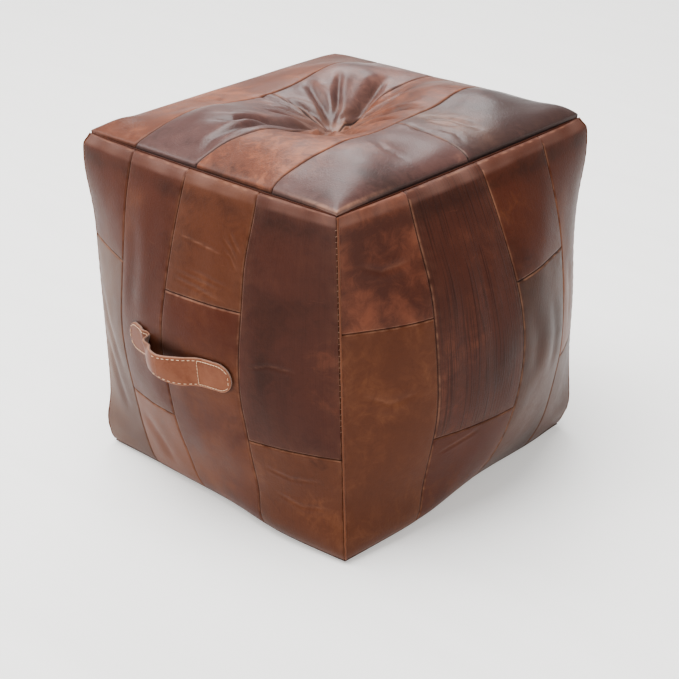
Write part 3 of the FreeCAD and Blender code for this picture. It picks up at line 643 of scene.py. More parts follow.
def coordinates(tree, scale=(1, 1, 1)):
    """The object's own coordinates, stretched by a scale."""
    where = add(tree, "ShaderNodeTexCoord", {}, "Object")
    return add(tree, "ShaderNodeMapping", {"Vector": where, "Scale": scale})


def new_material(name):
    """A new material, its node tree and the plain coordinates in it."""
    material = bpy.data.materials.new(name)
    material.use_nodes = True
    return material, material.node_tree, coordinates(material.node_tree)


def surface(tree, **inputs):
    """Gives the shader its inputs, written here with _ for a space."""
    for key, value in inputs.items():
        feed(value, tree.nodes["Principled BSDF"].inputs[key.replace("_", " ")])


WORN_TAN = srgb(158, 112, 88)
# the grey of painted sheen: on the faces' top rolls and on the strap's upturned left part
SHEEN_GREY = srgb(112, 80, 70)
DEEP_BROWN = srgb(28, 14, 10)


def leather(name, dark, base, light, gloss=0.44, shine=0.08, coat=0.0, grain=1.0):
    """Waxed pull-up leather: slow and quick changes of colour, scratches, pale rubbed edges, dark grooves,
    and the painted sheen, highlights and shade that its pieces' values call for.
    """
    material, tree, where = new_material(name)
    dark, base, light = srgb(*dark), srgb(*base), srgb(*light)
    words = ("mottle", "shade", "along", "streaks", "painted_sheen", "worn", "groove_and_shade", "dull")
    mottle, shade, along, streaks, painted_sheen, worn, groove_and_shade, dull = [
        add(tree, "ShaderNodeAttribute", {}, "Fac", attribute_name=word) for word in words
    ]
    slow, quick, specks = where.noise(8, 3, 0.5, 0.5), where.noise(64, 9, 0.68, 0.8), where.noise(190, 5, 0.7)
    tone = (quick - 0.5) * (mottle * 0.9 + 0.18) + (slow - 0.5) * 0.6 + shade
    colour = mix(tone.ranged(0, -0.22, 0, 0.85), base, dark)
    colour = mix(tone.ranged(0, 0.22), colour, light)
    colour = mix(specks.ranged(0.5, 0.75, 0, 0.16), colour, dark)
    height_up = add(tree, "ShaderNodeSeparateXYZ", {"Vector": where}, "Z")
    streak_way = add(tree, "ShaderNodeCombineXYZ", {"X": along * 480, "Y": height_up * 9})
    streaked = (streak_way.noise(1, 4, 0.62, 0.4).ranged(0.46, 0.64) * streaks).clamped()
    colour = mix(streaked, colour, dark)
    scratched = coordinates(tree, (22, 22, 330)).noise(1, 4, 0.7, 1.2).ranged(0.62, 0.72, 0, 0.35)
    colour = mix(scratched * where.noise(16, 2, 0.5).ranged(0.5, 0.66), colour, light)
    scuffed = coordinates(tree, (60, 60, 26)).noise(1, 8, 0.72, 0.6).ranged(0.5, 0.68)
    colour = mix((scuffed * slow.ranged(0.42, 0.58) * mottle).clamped(), colour, light)
    rubbed = (worn * quick.ranged(0.3, 0.62, 0.3)).clamped()
    # painted sheen first, then the paler rubbed leather
    colour = mix(rubbed, mix(painted_sheen, colour, SHEEN_GREY), WORN_TAN)
    cracks = where.cells(230, "DISTANCE_TO_EDGE").ranged(0, 0.09)
    height = where.cells(620, "SMOOTH_F1") * 0.5 + cracks * 0.25 + specks * 0.7 - streaked * 1.2
    surface(
        tree,
        Base_Color=mix(groove_and_shade, colour, DEEP_BROWN),
        Roughness=quick * 0.22 + (gloss - 0.11) + rubbed * 0.2 + dull * 0.4,
        Specular_IOR_Level=shine,
        Coat_Weight=coat,
        Coat_Roughness=0.32,
        Normal=relief(height, 0.32 * grain, 0.0006),
    )
    return material


def suede(name, base, light):
    """The flesh side of leather: matt and short-napped."""
    material, tree, where = new_material(name)
    nap = where.noise(260, 6, 0.7)
    tint = mix(nap.ranged(0.35, 0.65), base, light)
    surface(tree, Base_Color=tint, Roughness=0.9, Sheen_Weight=0.3, Normal=relief(nap, 0.5, 0.0005))
    return material


def cloth(name, base, light, pitch, fuzz=0.2):
    """Plain weave: crossing threads at a pitch in metres."""
    material, tree, where = new_material(name)
    values = {"Vector": where, "Scale": 0.5 / pitch / 3.14, "Distortion": 0.6, "Detail": 2.0}
    warp, weft = [
        add(tree, "ShaderNodeTexWave", values, "Fac", wave_type="BANDS", bands_direction=way)
        for way in ("X", "Y")
    ]
    weave = warp * weft
    tint = mix(where.noise(60, 4) * 0.5 + weave * 0.5, base, light)
    surface(tree, Base_Color=tint, Roughness=0.85, Sheen_Weight=fuzz, Normal=relief(weave, 0.5, 0.0004))
    return material


def fibres(name, base, light, scale):
    """Loose or twisted fibre: thread, twine or wadding."""
    material, tree, where = new_material(name)
    hairs = where.noise(scale, 6, 0.75, 1.5)
    tint = mix(hairs.ranged(0.35, 0.65), base, light)
    surface(tree, Base_Color=tint, Roughness=0.8, Sheen_Weight=0.25, Normal=relief(hairs, 0.45, 0.0004))
    return material


def brass(name):
    """Antiqued brass: darker and duller in its scratches."""
    material, tree, where = new_material(name)
    tarnish = where.noise(240, 6, 0.65, 0.8)
    worn = tarnish.ranged(0.4, 0.62)
    tint = mix(worn, srgb(92, 70, 40), srgb(176, 144, 92))
    surface(tree, Base_Color=tint, Roughness=worn * -0.2 + 0.5, Metallic=1.0)
    surface(tree, Normal=relief(tarnish, 0.2, 0.0002))
    return material


def wood(name):
    """Turned wood with straight grain."""
    material, tree, _ = new_material(name)
    grain = coordinates(tree, (40, 420, 60)).noise(1, 5, 0.6, 0.8)
    tint = mix(grain, srgb(138, 96, 58), srgb(196, 154, 104))
    surface(tree, Base_Color=tint, Roughness=0.6, Normal=relief(grain, 0.25, 0.0003))
    return material


# dark, middle and light colours, then gloss, shine, coat and grain where they aren't the usual ones
LEATHERS = {
    "leather_cognac": ((47, 21, 11), (72, 36, 19), (101, 58, 33)),
    "leather_chestnut": ((38, 15, 7), (62, 26, 13), (90, 47, 24)),
    "leather_chocolate": ((38, 17, 11), (60, 29, 20), (101, 54, 36)),
    "leather_taupe": ((47, 27, 19), (67, 40, 29), (88, 60, 45)),
    "leather_tan": ((65, 34, 21), (91, 51, 33), (117, 71, 47)),
    "leather_mauve": ((40, 24, 21), (68, 42, 38), (106, 70, 60), 0.33, 0.24, 0.06),
    "leather_strap": ((55, 24, 13), (85, 40, 22), (111, 61, 37), 0.44, 0.08, 0.0, 1.3),
    "leather_chestnut_top": ((48, 24, 16), (83, 42, 26), (124, 69, 44), 0.38, 0.18, 0.04),
}
MATERIALS = {name: leather(name, *settings) for name, settings in LEATHERS.items()}
MATERIALS |= {
    "leather_suede": suede("leather_suede", srgb(74, 46, 34), srgb(104, 70, 52)),
    "thread": fibres("thread", srgb(172, 128, 92), srgb(216, 180, 144), 900),
    "edge_thread": fibres("edge_thread", srgb(96, 62, 44), srgb(132, 92, 66), 900),
    "twine": fibres("twine", srgb(90, 62, 44), srgb(136, 100, 72), 700),
    "calico": cloth("calico", srgb(196, 186, 164), srgb(224, 216, 198), 0.0009),
    "wadding": fibres("wadding", srgb(212, 208, 200), srgb(236, 233, 228), 160),
    "zip_tape": cloth("zip_tape", srgb(44, 30, 24), srgb(72, 52, 42), 0.0007, 0.05),
    "zip_metal": brass("zip_metal"),
    "disc_wood": wood("disc_wood"),
}


def finish_with(thing, slot, *replaced, body="pouf", look=None):
    """Gives a piece the material of its slot or look, hides the CAD nodes it stands for, and hangs it on the
    body it rides on.
    """
    if replaced:
        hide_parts(*replaced)
    thing.data.materials.clear()
    thing.data.materials.append(MATERIALS[look or slot])
    if body:
        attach(thing, body)


# ---- patches of the cover


def rim_drop(inset):
    """How far a patch's edge is turned down into its seam."""
    return RIM_DROP * edge_of(inset, 0, RIM_WIDTH)


PATCH_FULL, FULL_REACH = 0.9, 14.0


def rim_profile(inset):
    """How far a patch's surface stands above its own level: turned down at a seam, full in its middle."""
    return PATCH_FULL * (1 - np.exp(-inset / FULL_REACH)) - rim_drop(inset)


def seam_marks(inset, seed, lapped, x, y, z=0):
    """Pale rubbed leather along a seam, and the dark groove in it."""
    ragged = 0.55 + 0.45 * slow_waves(x, y, 14, seed, z)
    line = bump((inset - 1.15) / 0.45) * np.clip(ragged + 0.2, 0, 0.9)
    wide = 0.07 * np.exp(-inset / 8) * np.clip(ragged, 0, 1)
    return np.clip(line * lapped + wide, 0, 1), 0.62 * edge_of(inset, 0.25, 0.7)


# how far apart a side's points are: closer on the two sides with the finest creases
PATCH_STEP = {"front": 1.8, "right": 1.8, "back": 3.0, "left": 3.0}
# how far the strap's middle lies above the handle's height: places along the face, and the rise there
STRAP_RISE = [(-79, 8.5), (-60, 8), (-44, 6.5), (-33, 1), (-14, -2.5)]
STRAP_RISE += [(16, -1.5), (36, 1.5), (58, 2), (78, 1)]
STRAP_SHADE_X, STRAP_SHADE_Z = -14.0, HANDLE_Z + 13  # the painted shadow behind the strap's free part is centred here, above the strap


def strap_shadow(a, z):
    """Painted shadow on the front face: above the strap, behind its free part, and in the angle round its
    sewn ends.
    """
    middle = [(np.clip(x, STRAP_HALF - 79, 78 - STRAP_HALF), HANDLE_Z + rise) for x, rise in STRAP_RISE]
    past = to_line(a, z, middle)[0] - STRAP_HALF
    # painted shadow: a dark ring round the strap's sewn ends, where the pads stand off the face
    round_ends = 0.7 * bump((past - 0.6) / 1.5) * (1 - bump((a + 4) / 42))
    return np.maximum(round_ends, 0.75 * bump((a - STRAP_SHADE_X) / 32) * bump((z - STRAP_SHADE_Z) / 12))


BAND_DEEP = 15.0  # the seam allowance under the leather lifts a roll along the top of each face; a band this deep gets a painted highlight and painted sheen
NEAR_SEAM = 3.0  # the turned-down rim lies within this of a seam
RIM_WEAR = 8.0  # the top seam's own wear reaches this far down a face
# each visible patch's own look, strip by strip: how much lighter or darker it is than its leather, its dark
# upright streaks, how much painted highlight its roll by the top seam gets, how much paler it is towards its
# lower end, and how mottled it is
PATCH_LOOK = {
    "front_upper": [
        (-0.05, 0, 0.04, 0, 0),
        (0.02, 0.1, 0.05, 0.03, 0),
        (0.05, 0, 0.05, -0.05, 0.2),
        (-0.03, 0.15, 0.07, 0, 0.1),
    ],
    "front_lower": [(0.05, 0, 0, 0.04, 0), (0, 0, 0, 0.04, 0), (0, 0, 0, 0.09, 0), (-0.02, 0.1, 0, 0, 0.25)],
    "right_upper": [
        (0.16, 0.05, 0.04, -0.11, 0.14),
        (-0.02, 0.7, 0.07, 0, 0.1),
        (0, 0.1, 0.06, -0.07, 0.15),
        (0, 0, 0.05, 0.24, 0.05),
    ],
    "right_lower": [
        (-0.03, 0, 0, 0, 0.15),
        (-0.05, 0.1, 0, 0.03, 0.1),
        (-0.15, 0.2, 0, 0.03, 0),
        (0, 0.1, 0, 0.03, 0),
    ],
}
HIDDEN_LOOK = [(0, 0.05, 0.04, 0.01, 0.15)] * 4


def slot_of(node):
    """The material slot that the record gives a CAD node."""
    return next(part["material_slot"] for part in frame["record"]["subparts"] if part["node"] == node)


def leather_plate(node, outer, inner, marks, flip, look=None):
    """A patch of the cover, which stands for its CAD node."""
    piece = plate(node.replace("patch", "leather"), outer, inner, marks, flip)
    finish_with(piece, slot_of(node), node, look=look)


def side_colours(side, strip, row, a, z, share):
    """A side patch's own lightness, streaks and mottling, with a painted highlight and painted sheen on its
    top roll and painted shade under it. share is 0 at its foot and 1 at its top.
    """
    tone, streaks, roll_highlight, pale_low, mottle = PATCH_LOOK.get(f"{side}_{row}", HIDDEN_LOOK)[strip]
    # the roll under the top seam: a painted highlight and painted sheen on it, painted shade in a line under
    # it
    band = smooth((z - EDGE_Z + BAND_DEEP) / 5)
    roll_shadow = bump((EDGE_Z - z - 1.6 * BAND_DEEP) / 8)
    shade = tone + pale_low * (1 - share) + 0.7 * roll_highlight * band - 0.08 * roll_shadow
    painted_sheen = np.clip(band * (0.3 + 0.15 * slow_waves(a, z, 40, 420 + strip)), 0, 1)
    marks = {"shade": shade, "painted_sheen": painted_sheen, "along": a * MM}
    return marks | {"streaks": streaks + 0 * a, "mottle": mottle + 0 * a}


def rim_wear(strip, a, z, worn, groove_and_shade):
    """Near the top seam, wear and groove give way to its own broken pale leather and dark line; the dark line
    is the seam's joint, partly painted shadow under the top's overhang.
    """
    below = EDGE_Z - z
    broken = np.clip(0.35 + 0.65 * slow_waves(a, z, 18, 400 + strip), 0, 1)
    worn = np.where(below < RIM_WEAR, 0.35 * broken * bump((below - 2.3) / 0.5), worn)
    return worn, np.where(below < RIM_WEAR, 0.85 * edge_of(below, 0.3, 0.8), groove_and_shade)


def side_patch(side, strip, row):
    """One leather patch of a side face."""
    left, right = LIMITS[side][strip : strip + 2]
    low, high = (0, CROSS[side][strip]) if row == "lower" else (CROSS[side][strip], EDGE_Z)
    step = PATCH_STEP[side]
    a, z = np.meshgrid(spread(left, right, step), spread(low, high, step), indexing="ij")
    inset_a, inset_z = np.minimum(a - left, right - a), np.minimum(z - low, high - z)
    inset = np.minimum(inset_a, inset_z)
    along, out, up = side_flat(side, a, z)
    crease, rubbed = side_creases(side, a, z)
    out = out + rim_profile(inset) - crease
    drop = rim_drop(inset)
    at_low_end, at_high_end = (strip == 0) * (a - left < NEAR_SEAM), (strip == 3) * (right - a < NEAR_SEAM)
    at_foot, at_rim = (row == "lower") * (z - low < NEAR_SEAM), (row == "upper") * (high - z < NEAR_SEAM)
    along = along + drop * at_low_end - drop * at_high_end
    up = up + drop * at_foot - drop * at_rim
    outer, inner = place(side, along, out, up), place(side, along, out - THICK, up)
    upright = np.where(a - left < right - a, 0.95, 0.3) * (0.5 if side == "right" else 1)
    lapped = np.where(inset_a < inset_z, upright, np.where(z - low < high - z, 0.5, 0.6))
    worn, groove_and_shade = seam_marks(inset, 300 + strip, lapped, *np.moveaxis(outer, -1, 0))
    worn = np.clip(worn + rubbed, 0, 1)
    # the strap's painted shadow on the front face
    if side == "front":
        groove_and_shade = np.maximum(groove_and_shade, strap_shadow(a, z))
    if row == "upper":
        worn, groove_and_shade = rim_wear(strip, a, z, worn, groove_and_shade)
    marks = side_colours(side, strip, row, a, z, (z - low) / (high - low)) | {"worn": worn, "groove_and_shade": groove_and_shade}
    leather_plate(f"{side}_patch_{strip + 1}_{row}", outer, inner, marks, side in TURNED)


# the top's three long seams, as places across the pouf for places from front to back
TOP_SEAMS = [
    [(-193, -110), (-110, -106), (0, -109), (100, -109), (193, -112)],
    [(-193, -15), (-160, -10), (-125, 0), (-85, 0), (-40, -10), (15, -18), (90, -25), (130, -23), (193, -21)],
    [(-193, 97), (-148, 97), (-107, 99), (-25, 88), (27, 83), (64, 82), (108, 79), (150, 75), (193, 67)],
]
TOP_STEP = 2.2
TOP_CROSS = {1: box_mm("top_patch_2_front")[1][1], 3: box_mm("top_patch_4_front")[1][1]}


def top_seam(index, y):
    """Where a long seam of the top lies across the pouf. The first and last are the cube's edges."""
    if index in (0, 4):
        return y * 0 + (HALF_X if index == 4 else -HALF_X)
    points = smooth_line(TOP_SEAMS[index - 1], 80)
    return np.interp(y, points[:, 0], points[:, 1])


# how much lighter or darker a patch is than its leather (top_patch_4_back's darker value is partly painted
# shade), how much painted shade darkens it towards its back, and how mottled
TOP_LOOK = {
    "top_patch_1": (0.05, 0.14, 0.3),
    "top_patch_2_front": (0.0, 0.0, 0.25),
    "top_patch_2_back": (0.05, 0.02, 0.25),
    "top_patch_3": (0.03, 0.1, 0.6),
    "top_patch_4_front": (0.02, 0.06, 0.25),
    "top_patch_4_back": (-0.08, 0.12, 0.2),
}


# places where the top is darker or lighter: x, y, how wide, and how much darker or lighter
TOP_TONE_SPOTS = [
    (-172, -172, 26, -0.16),
    (-120, -172, 16, 0.1),
    (-8, -184, 12, 0.14),
    (34, -186, 34, -0.14),
    (78, -186, 9, 0.16),
    (150, -184, 26, -0.12),
    (186, -110, 34, -0.14),
    (184, -2, 16, 0.14),
    (120, 44, 26, 0.1),
]


def tone_spots(x, y):
    return sum(change * bump(np.hypot(x - cx, y - cy) / wide) for cx, cy, wide, change in TOP_TONE_SPOTS)


def top_marks(x, y, inset, edge, mark, lapped, strip):
    """A top patch's wear and grooves: at its seams, round the pinch and at the rim, with painted shade in its
    creases and at the rim and a painted highlight along the front corner's edges.
    """
    worn, groove_and_shade = seam_marks(inset, 500 + strip, lapped, x, y)
    away = np.hypot(x - TUFT[0], y - TUFT[1])
    near_pinch = 0.45 * bump(away / 40) * (0.6 + 0.4 * slow_waves(x, y, 25, 71))
    right_wrinkles = 0.3 * bump((x - 120) / 45) * bump((y - 45) / 22)
    worn = np.clip(worn + near_pinch + right_wrinkles, 0, 0.8) * smooth(edge / 6)
    front_corner = bump((HALF_X - x) / 55) * bump((HALF_Y + y) / 55)
    # painted highlight: pale edges along the front corner, laid in as wear
    worn = np.maximum(worn, 0.6 * front_corner * bump((edge - 2.6) / 1.4))
    groove_and_shade = np.maximum(groove_and_shade, 0.8 * edge_of(inset, 0.5, 0.9))
    # painted shade in the creases' valleys
    groove_and_shade = np.clip(groove_and_shade + 0.4 * mark * smooth(away / 30), 0, 0.9)
    # the dark line at the rim: the seam's dark joint, partly painted shadow under the top's overhang, fainter
    # at the front corner
    groove_and_shade = np.maximum(groove_and_shade, (0.65 - 0.4 * front_corner) * edge_of(edge, 0.5, 0.7))
    return {"worn": worn, "groove_and_shade": groove_and_shade, "dull": edge_of(inset, 0, 3.5)}


def top_patch(node, strip, low, high):
    """One leather patch of the top."""
    mean = np.mean(top_seam(strip + 1, np.array([low, high])) - top_seam(strip, np.array([low, high])))
    across, y = np.meshgrid(spread(0, mean, TOP_STEP), spread(low, high, TOP_STEP), indexing="ij")
    left, right = top_seam(strip, y), top_seam(strip + 1, y)
    x = left + (right - left) * across / mean
    inset_x, inset_y = np.minimum(x - left, right - x), np.minimum(y - low, high - y)
    inset = np.minimum(inset_x, inset_y)
    edge_x, edge_y = HALF_X - np.abs(x), HALF_Y - np.abs(y)
    edge = np.minimum(edge_x, edge_y)
    outer, mark = top_place(x, y)
    drop = rim_drop(inset)
    outer[..., 0] -= np.sign(x) * drop * (edge_x < NEAR_SEAM)
    outer[..., 1] -= np.sign(y) * drop * (edge_y < NEAR_SEAM)
    outer[..., 2] += rim_profile(inset)
    lapped = np.where(inset_x < inset_y, np.where(x - left < right - x, 0.12, 0.25), 0.6)
    marks = top_marks(x, y, inset, edge, mark, lapped, strip)
    tone, darker, mottle = TOP_LOOK[node]
    # painted shade: darker towards the back, where less light falls
    marks["shade"] = tone - darker * smooth((y + 0.3 * x + 30) / 160) + tone_spots(x, y)
    marks["mottle"] = mottle + 0 * x
    inner = outer - np.array([0, 0, THICK])
    leather_plate(node, outer, inner, marks, False, look="leather_chestnut_top" if strip % 2 == 0 else None)


for side_name in SIDES:
    for strip_number in range(4):
        for row_name in ("lower", "upper"):
            side_patch(side_name, strip_number, row_name)
top_patch("top_patch_1", 0, -HALF_Y, HALF_Y)
top_patch("top_patch_3", 2, -HALF_Y, HALF_Y)
for strip_number in (1, 3):
    top_patch(f"top_patch_{strip_number + 1}_front", strip_number, -HALF_Y, TOP_CROSS[strip_number])
    top_patch(f"top_patch_{strip_number + 1}_back", strip_number, TOP_CROSS[strip_number], HALF_Y)

# ---- base panels

LIP_ROUND = 1.5
BASE_STEP = 6.0


def base_panel(name, node, y_edge, y_lip):
    """A base panel from a bottom seam to the channel, where it turns up as a lip."""
    way = 1 if y_lip > y_edge else -1
    xs = spread(-HALF_X, HALF_X, BASE_STEP)
    deep = abs(y_lip - y_edge)
    rows = [(y_edge + way * t, 0) for t in spread(0, deep, BASE_STEP) if t < deep - LIP_ROUND]
    for turn in np.linspace(0, math.pi / 2, 5):
        rows.append((y_lip - way * LIP_ROUND * (1 - math.sin(turn)), LIP_ROUND * (1 - math.cos(turn))))
    rows += [(y_lip, height) for height in np.linspace(LIP_ROUND, CHANNEL_HIGH, 5)[1:]]
    outer = np.zeros((len(xs), len(rows), 3))
    inner = np.zeros_like(outer)
    for j, (y, height) in enumerate(rows):
        spot = base_place(xs, y + 0 * xs)
        if deep - abs(y - y_edge) <= LIP_ROUND:
            spot[:, 1] = y
            spot[:, 2] = np.maximum(spot[:, 2], height)
        lean = min(1, height / LIP_ROUND)
        outer[:, j], inner[:, j] = spot, spot + np.array([0, -way * THICK * lean, THICK * (1 - lean)])
    ends = (HALF_X - np.abs(xs))[:, None]
    inset = np.minimum(ends, [abs(y - y_edge) for y, _ in rows])
    worn, groove_and_shade = seam_marks(inset, 800, 0.5, *np.moveaxis(outer, -1, 0))
    panel = plate(name, outer, inner, {"worn": worn, "groove_and_shade": groove_and_shade}, way > 0)
    finish_with(panel, "leather_chocolate", node)


base_panel("base_leather_front", "base_front_panel", -HALF_Y, ZIP_Y - CHANNEL_HALF)
base_panel("base_leather_back", "base_back_panel", HALF_Y, ZIP_Y + CHANNEL_HALF)


def end_tab(word, way):
    """One of the two short leather tabs between the base panels, past the ends of the zip."""
    xs = np.linspace(HALF_X, CHANNEL_END, 9) * way
    ys = np.linspace(ZIP_Y - CHANNEL_HALF + 0.2, ZIP_Y + CHANNEL_HALF - 0.2, 9)
    outer = base_place(*np.meshgrid(xs, ys, indexing="ij"))
    tab = plate(f"zip_tab_{word}", outer, outer + np.array([0, 0, THICK]), flip=way < 0)
    finish_with(tab, "leather_chocolate", "zip_end_tabs")


end_tab("left", -1)
end_tab("right", 1)

# ---- liner bag, filling, twine, tapes

INNER_POWER = 9  # how late a bag's edges draw in
STEP_CLEAR = 4.0  # over the zip's channel
BAG_GRID = 49


def inner_skin(name, offset, step_side, slack):
    """A closed bag of the cover's shape, drawn in by an offset. It steps over the zip's channel."""
    ways = np.linspace(-1, 1, BAG_GRID)
    u, w = np.meshgrid(ways, ways, indexing="ij")
    pull_u, pull_w = u**INNER_POWER * offset, w**INNER_POWER * offset
    sheets = []
    for side in SIDES:
        a, z = u * HALF_ALONG[side], (w + 1) / 2 * EDGE_Z
        along, out, up = side_flat(side, a, z)
        wrinkle = slack * (1 - u**4) * (1 - w**4) * (slow_waves(a, z, 38, 40) - 1)
        sheets.append((place(side, along - pull_u, out - offset + wrinkle, up - pull_w), side in TURNED))
    x, y = u * HALF_X, w * HALF_Y
    pulled = np.stack([pull_u, pull_w, offset + 0 * u], -1)
    top = top_place(x, y, False)[0] - pulled
    near_by = (-8, -4, 0, 4, 8)
    deepest = np.min([creases(x + i, y + j)[0] for i in near_by for j in near_by], axis=0)
    top[..., 2] += (np.minimum(deepest, 0) - 1.5) * (1 - u**6) * (1 - w**6)
    top[..., 2] -= 8 * bump(np.hypot(x - TUFT[0], y - TUFT[1]) / 60)
    base = base_place(x, y) - pulled * np.array([1, 1, -1])
    over = smooth((step_side + 6 - np.abs(y - ZIP_Y)) / 4) * smooth((HALF_X - 4 - np.abs(x)) / 4)
    base[..., 2] = np.maximum(base[..., 2], offset + (CHANNEL_HIGH + STEP_CLEAR) * over)
    faces = []
    for number, (_, flip) in enumerate(sheets + [(top, False), (base, True)]):
        faces += grid_faces(BAG_GRID, BAG_GRID, number * BAG_GRID**2, flip)
    points = [sheet for sheet, _ in sheets] + [top, base]
    piece = mesh_piece(name, np.concatenate(points).reshape(-1, 3), faces)
    work = bmesh.new()
    work.from_mesh(piece.data)
    bmesh.ops.remove_doubles(work, verts=work.verts, dist=1.2 * MM)
    work.to_mesh(piece.data)
    work.free()
    return piece


finish_with(inner_skin("liner_cloth", offset=3.0, step_side=17, slack=0.3), "calico", "liner_bag")
stuffing = inner_skin("filling_wadding", offset=5.0, step_side=20, slack=0.5)
finish_with(stuffing, "wadding", "filling")


TWIST, STRAND_OUT, STRAND_RADIUS, KNOT_OUT = 7.0, 0.65, 0.72, 1.3


def twine():
    """Two strands twisted together, down through the filling, with a short bar in the pinched point."""
    low = TUFT_LOW[2] + 2
    high = top_place(*TUFT)[0][2] - 1
    turns = []  # angle, how far out, and height
    z = np.linspace(low, high, 260)
    for phase in (0, math.pi):
        turns.append((2 * math.pi * z / TWIST + phase, STRAND_OUT, z))
    knot = np.linspace(0, 4 * math.pi, 40)
    turns.append((knot, KNOT_OUT, low - 0.6 + 0.12 * knot))
    strand_1, strand_2, knot_line = [
        np.stack([TUFT[0] + reach * np.cos(turn), TUFT[1] + reach * np.sin(turn), up], 1)
        for turn, reach, up in turns
    ]
    t = np.linspace(-1, 1, 12)
    bar = np.stack([TUFT[0] + 3.5 * t, TUFT[1] + 0.4 * t, high + 1.6 - 1.4 * t**4], 1)
    return tubes("tuft_cord", [strand_1, strand_2, bar, knot_line], STRAND_RADIUS, 7)


finish_with(twine(), "twine", "tuft_twine")


def zip_tape(node):
    """A woven tape along the channel, very slightly wavy."""
    low, high = box_mm(node)
    x, y = np.meshgrid(np.linspace(low[0], high[0], 161), np.linspace(low[1], high[1], 9), indexing="ij")
    wave = 0.12 * slow_waves(x, y, 30, 5)
    outer, inner = [np.stack([x, y, level + wave], -1) for level in (high[2], low[2])]
    finish_with(plate(node.replace("tape", "ribbon"), outer, inner), "zip_tape", node)


zip_tape("zip_tape_front")
zip_tape("zip_tape_back")

ZIP_METAL = ("zip_teeth_front", "zip_teeth_back", "zip_stops", "zip_slider", "zip_pull")
for node_name in ("tuft_anchor", *ZIP_METAL):
    materials = frame["nodes"][node_name].data.materials
    materials.clear()
    materials.append(MATERIALS["zip_metal" if node_name in ZIP_METAL else "disc_wood"])

# ---- seams along the cube's edges

CORNER_WELT, RIM_WELT, WHIP_THREAD, STRAP_THREAD = 1.15, 0.6, 0.3, 0.38  # radii
WHIP_FROM, WHIP_PITCH = 150.0, 6.5


def corner_line(corner, z):
    """The line of a vertical edge seam."""
    sx, sy = CORNER_SIGN[corner]
    shift = corner_shift(corner, z) - corner_draw(corner, z)
    return np.stack([sx * (HALF_X + shift), sy * (HALF_Y + shift), z + SEAM_LIFT * bump(z / LIFT_FADE)], -1)


def corner_seams():
    """A rubbed ridge of cut leather along each vertical edge."""
    z = np.linspace(3, EDGE_Z - 2, 150)
    fray = 1 + 0.25 * slow_waves(z, 0, 9, 12)[:, None]
    sideways = ((0.1, 0.9, 0), (-0.9, 0.1, 0), (0.9, 0.1, 0), (-0.1, 0.9, 0))
    lines = [corner_line(corner, z) + np.array(way) * fray for corner, way in zip(SIDES, sideways)]
    return tubes("corner_welts", lines, CORNER_WELT, 8)


def rim_seams():
    """A thin rubbed edge along the top seam and the bottom seam."""
    lines = []
    t = np.linspace(-1, 1, 120)
    for side in SIDES:
        for z in (EDGE_Z - 1.0, 1.0):
            along, out, up = side_flat(side, t * (HALF_ALONG[side] - 2), z + 0 * t)
            lines.append(place(side, along, out - 1.0 + 0.2 * slow_waves(along, 0, 12, 13), up))
    return tubes("rim_welts", lines, RIM_WELT, 6)


def whip_stitches():
    """Small stitches across the upper part of each vertical edge."""
    pairs = []
    for corner in SIDES:
        sx, sy = CORNER_SIGN[corner]
        for z in np.arange(WHIP_FROM, EDGE_Z - 12, WHIP_PITCH):
            middle = corner_line(corner, z)
            a = middle + np.array([-sx * 2.6, sy * 0.4, -1.0 + rng.uniform(-0.4, 0.4)])
            b = middle + np.array([sx * 0.4, -sy * 2.6, 1.0 + rng.uniform(-0.4, 0.4)])
            pairs.append((a, b, np.array([sx, sy, 0]) * 0.7))
    return stitches("corner_stitches", pairs, WHIP_THREAD)


finish_with(corner_seams(), "leather_tan", "corner_seam_threads")
finish_with(rim_seams(), "leather_chestnut", "rim_seam_threads")
finish_with(whip_stitches(), "thread", look="edge_thread")

# ---- handle

# the strap's inner side: places along the face, and how far it stands off the face there
STRAP_LINE = [(-79, 0.3), (-68, 0.3), (-56, 0.3), (-45, 0.3), (-41, 2.2), (-37, 6.0), (-32, 9.6), (-25, 12.4)]
STRAP_LINE += [(-16, 13.6), (-7, 13.2), (4, 11.2), (18, 7.2), (30, 2.6), (40, 0.5)]
STRAP_LINE += [(52, 0.3), (64, 0.3), (78, 0.3)]
PAD_LIFT = 1.2  # the pads lie on the patch's full surface
STRAP_PARTS = 220
STRAP_MIDDLE = -11.5
FACE_DEPTH, LINING_DEPTH = (1.35, 2.85), (0.0, 1.3)


def front_out(x, z):
    return side_flat("front", x, z)[1]


def strap_path():
    """The strap's inner side seen from above: distances along it, and the places, ways out and gaps there."""
    x, gap = smooth_line(STRAP_LINE, STRAP_PARTS).T
    spots = np.stack([x, -(front_out(x, HANDLE_Z + 0 * x) + gap + PAD_LIFT)], 1)
    run = run_of(spots)
    even = np.linspace(0, run[-1], STRAP_PARTS)
    spots = at_runs(even, run, spots)
    way = np.gradient(spots, axis=0)
    way /= np.linalg.norm(way, axis=1)[:, None]
    return even, spots, np.stack([way[:, 1], -way[:, 0]], 1), np.interp(even, run, gap)


RUN, PATH, OUTWARD, GAP = strap_path()


def along_strap(x):
    """How far along the strap a place along the face is."""
    return float(np.interp(x, PATH[:, 0], RUN))


LENGTH, MIDDLE = RUN[-1], along_strap(STRAP_MIDDLE)
CURL_AT, CURL_LONG, CURL_DEEP = along_strap(-40), 8.0, 3.8
RISE_LINE = smooth_line(STRAP_RISE, 120)


def half_width(s):
    """Half the strap's width: round at both tips, and a little narrower along the free part."""
    tip = np.clip(np.minimum(s, LENGTH - s), 0, STRAP_HALF)
    rounded = STRAP_HALF * np.sqrt(1 - (1 - tip / STRAP_HALF) ** 2)
    waist = 4.2 * bump((s - LENGTH * 0.36) / (LENGTH * 0.16))
    return np.maximum(rounded - waist, 0.3)


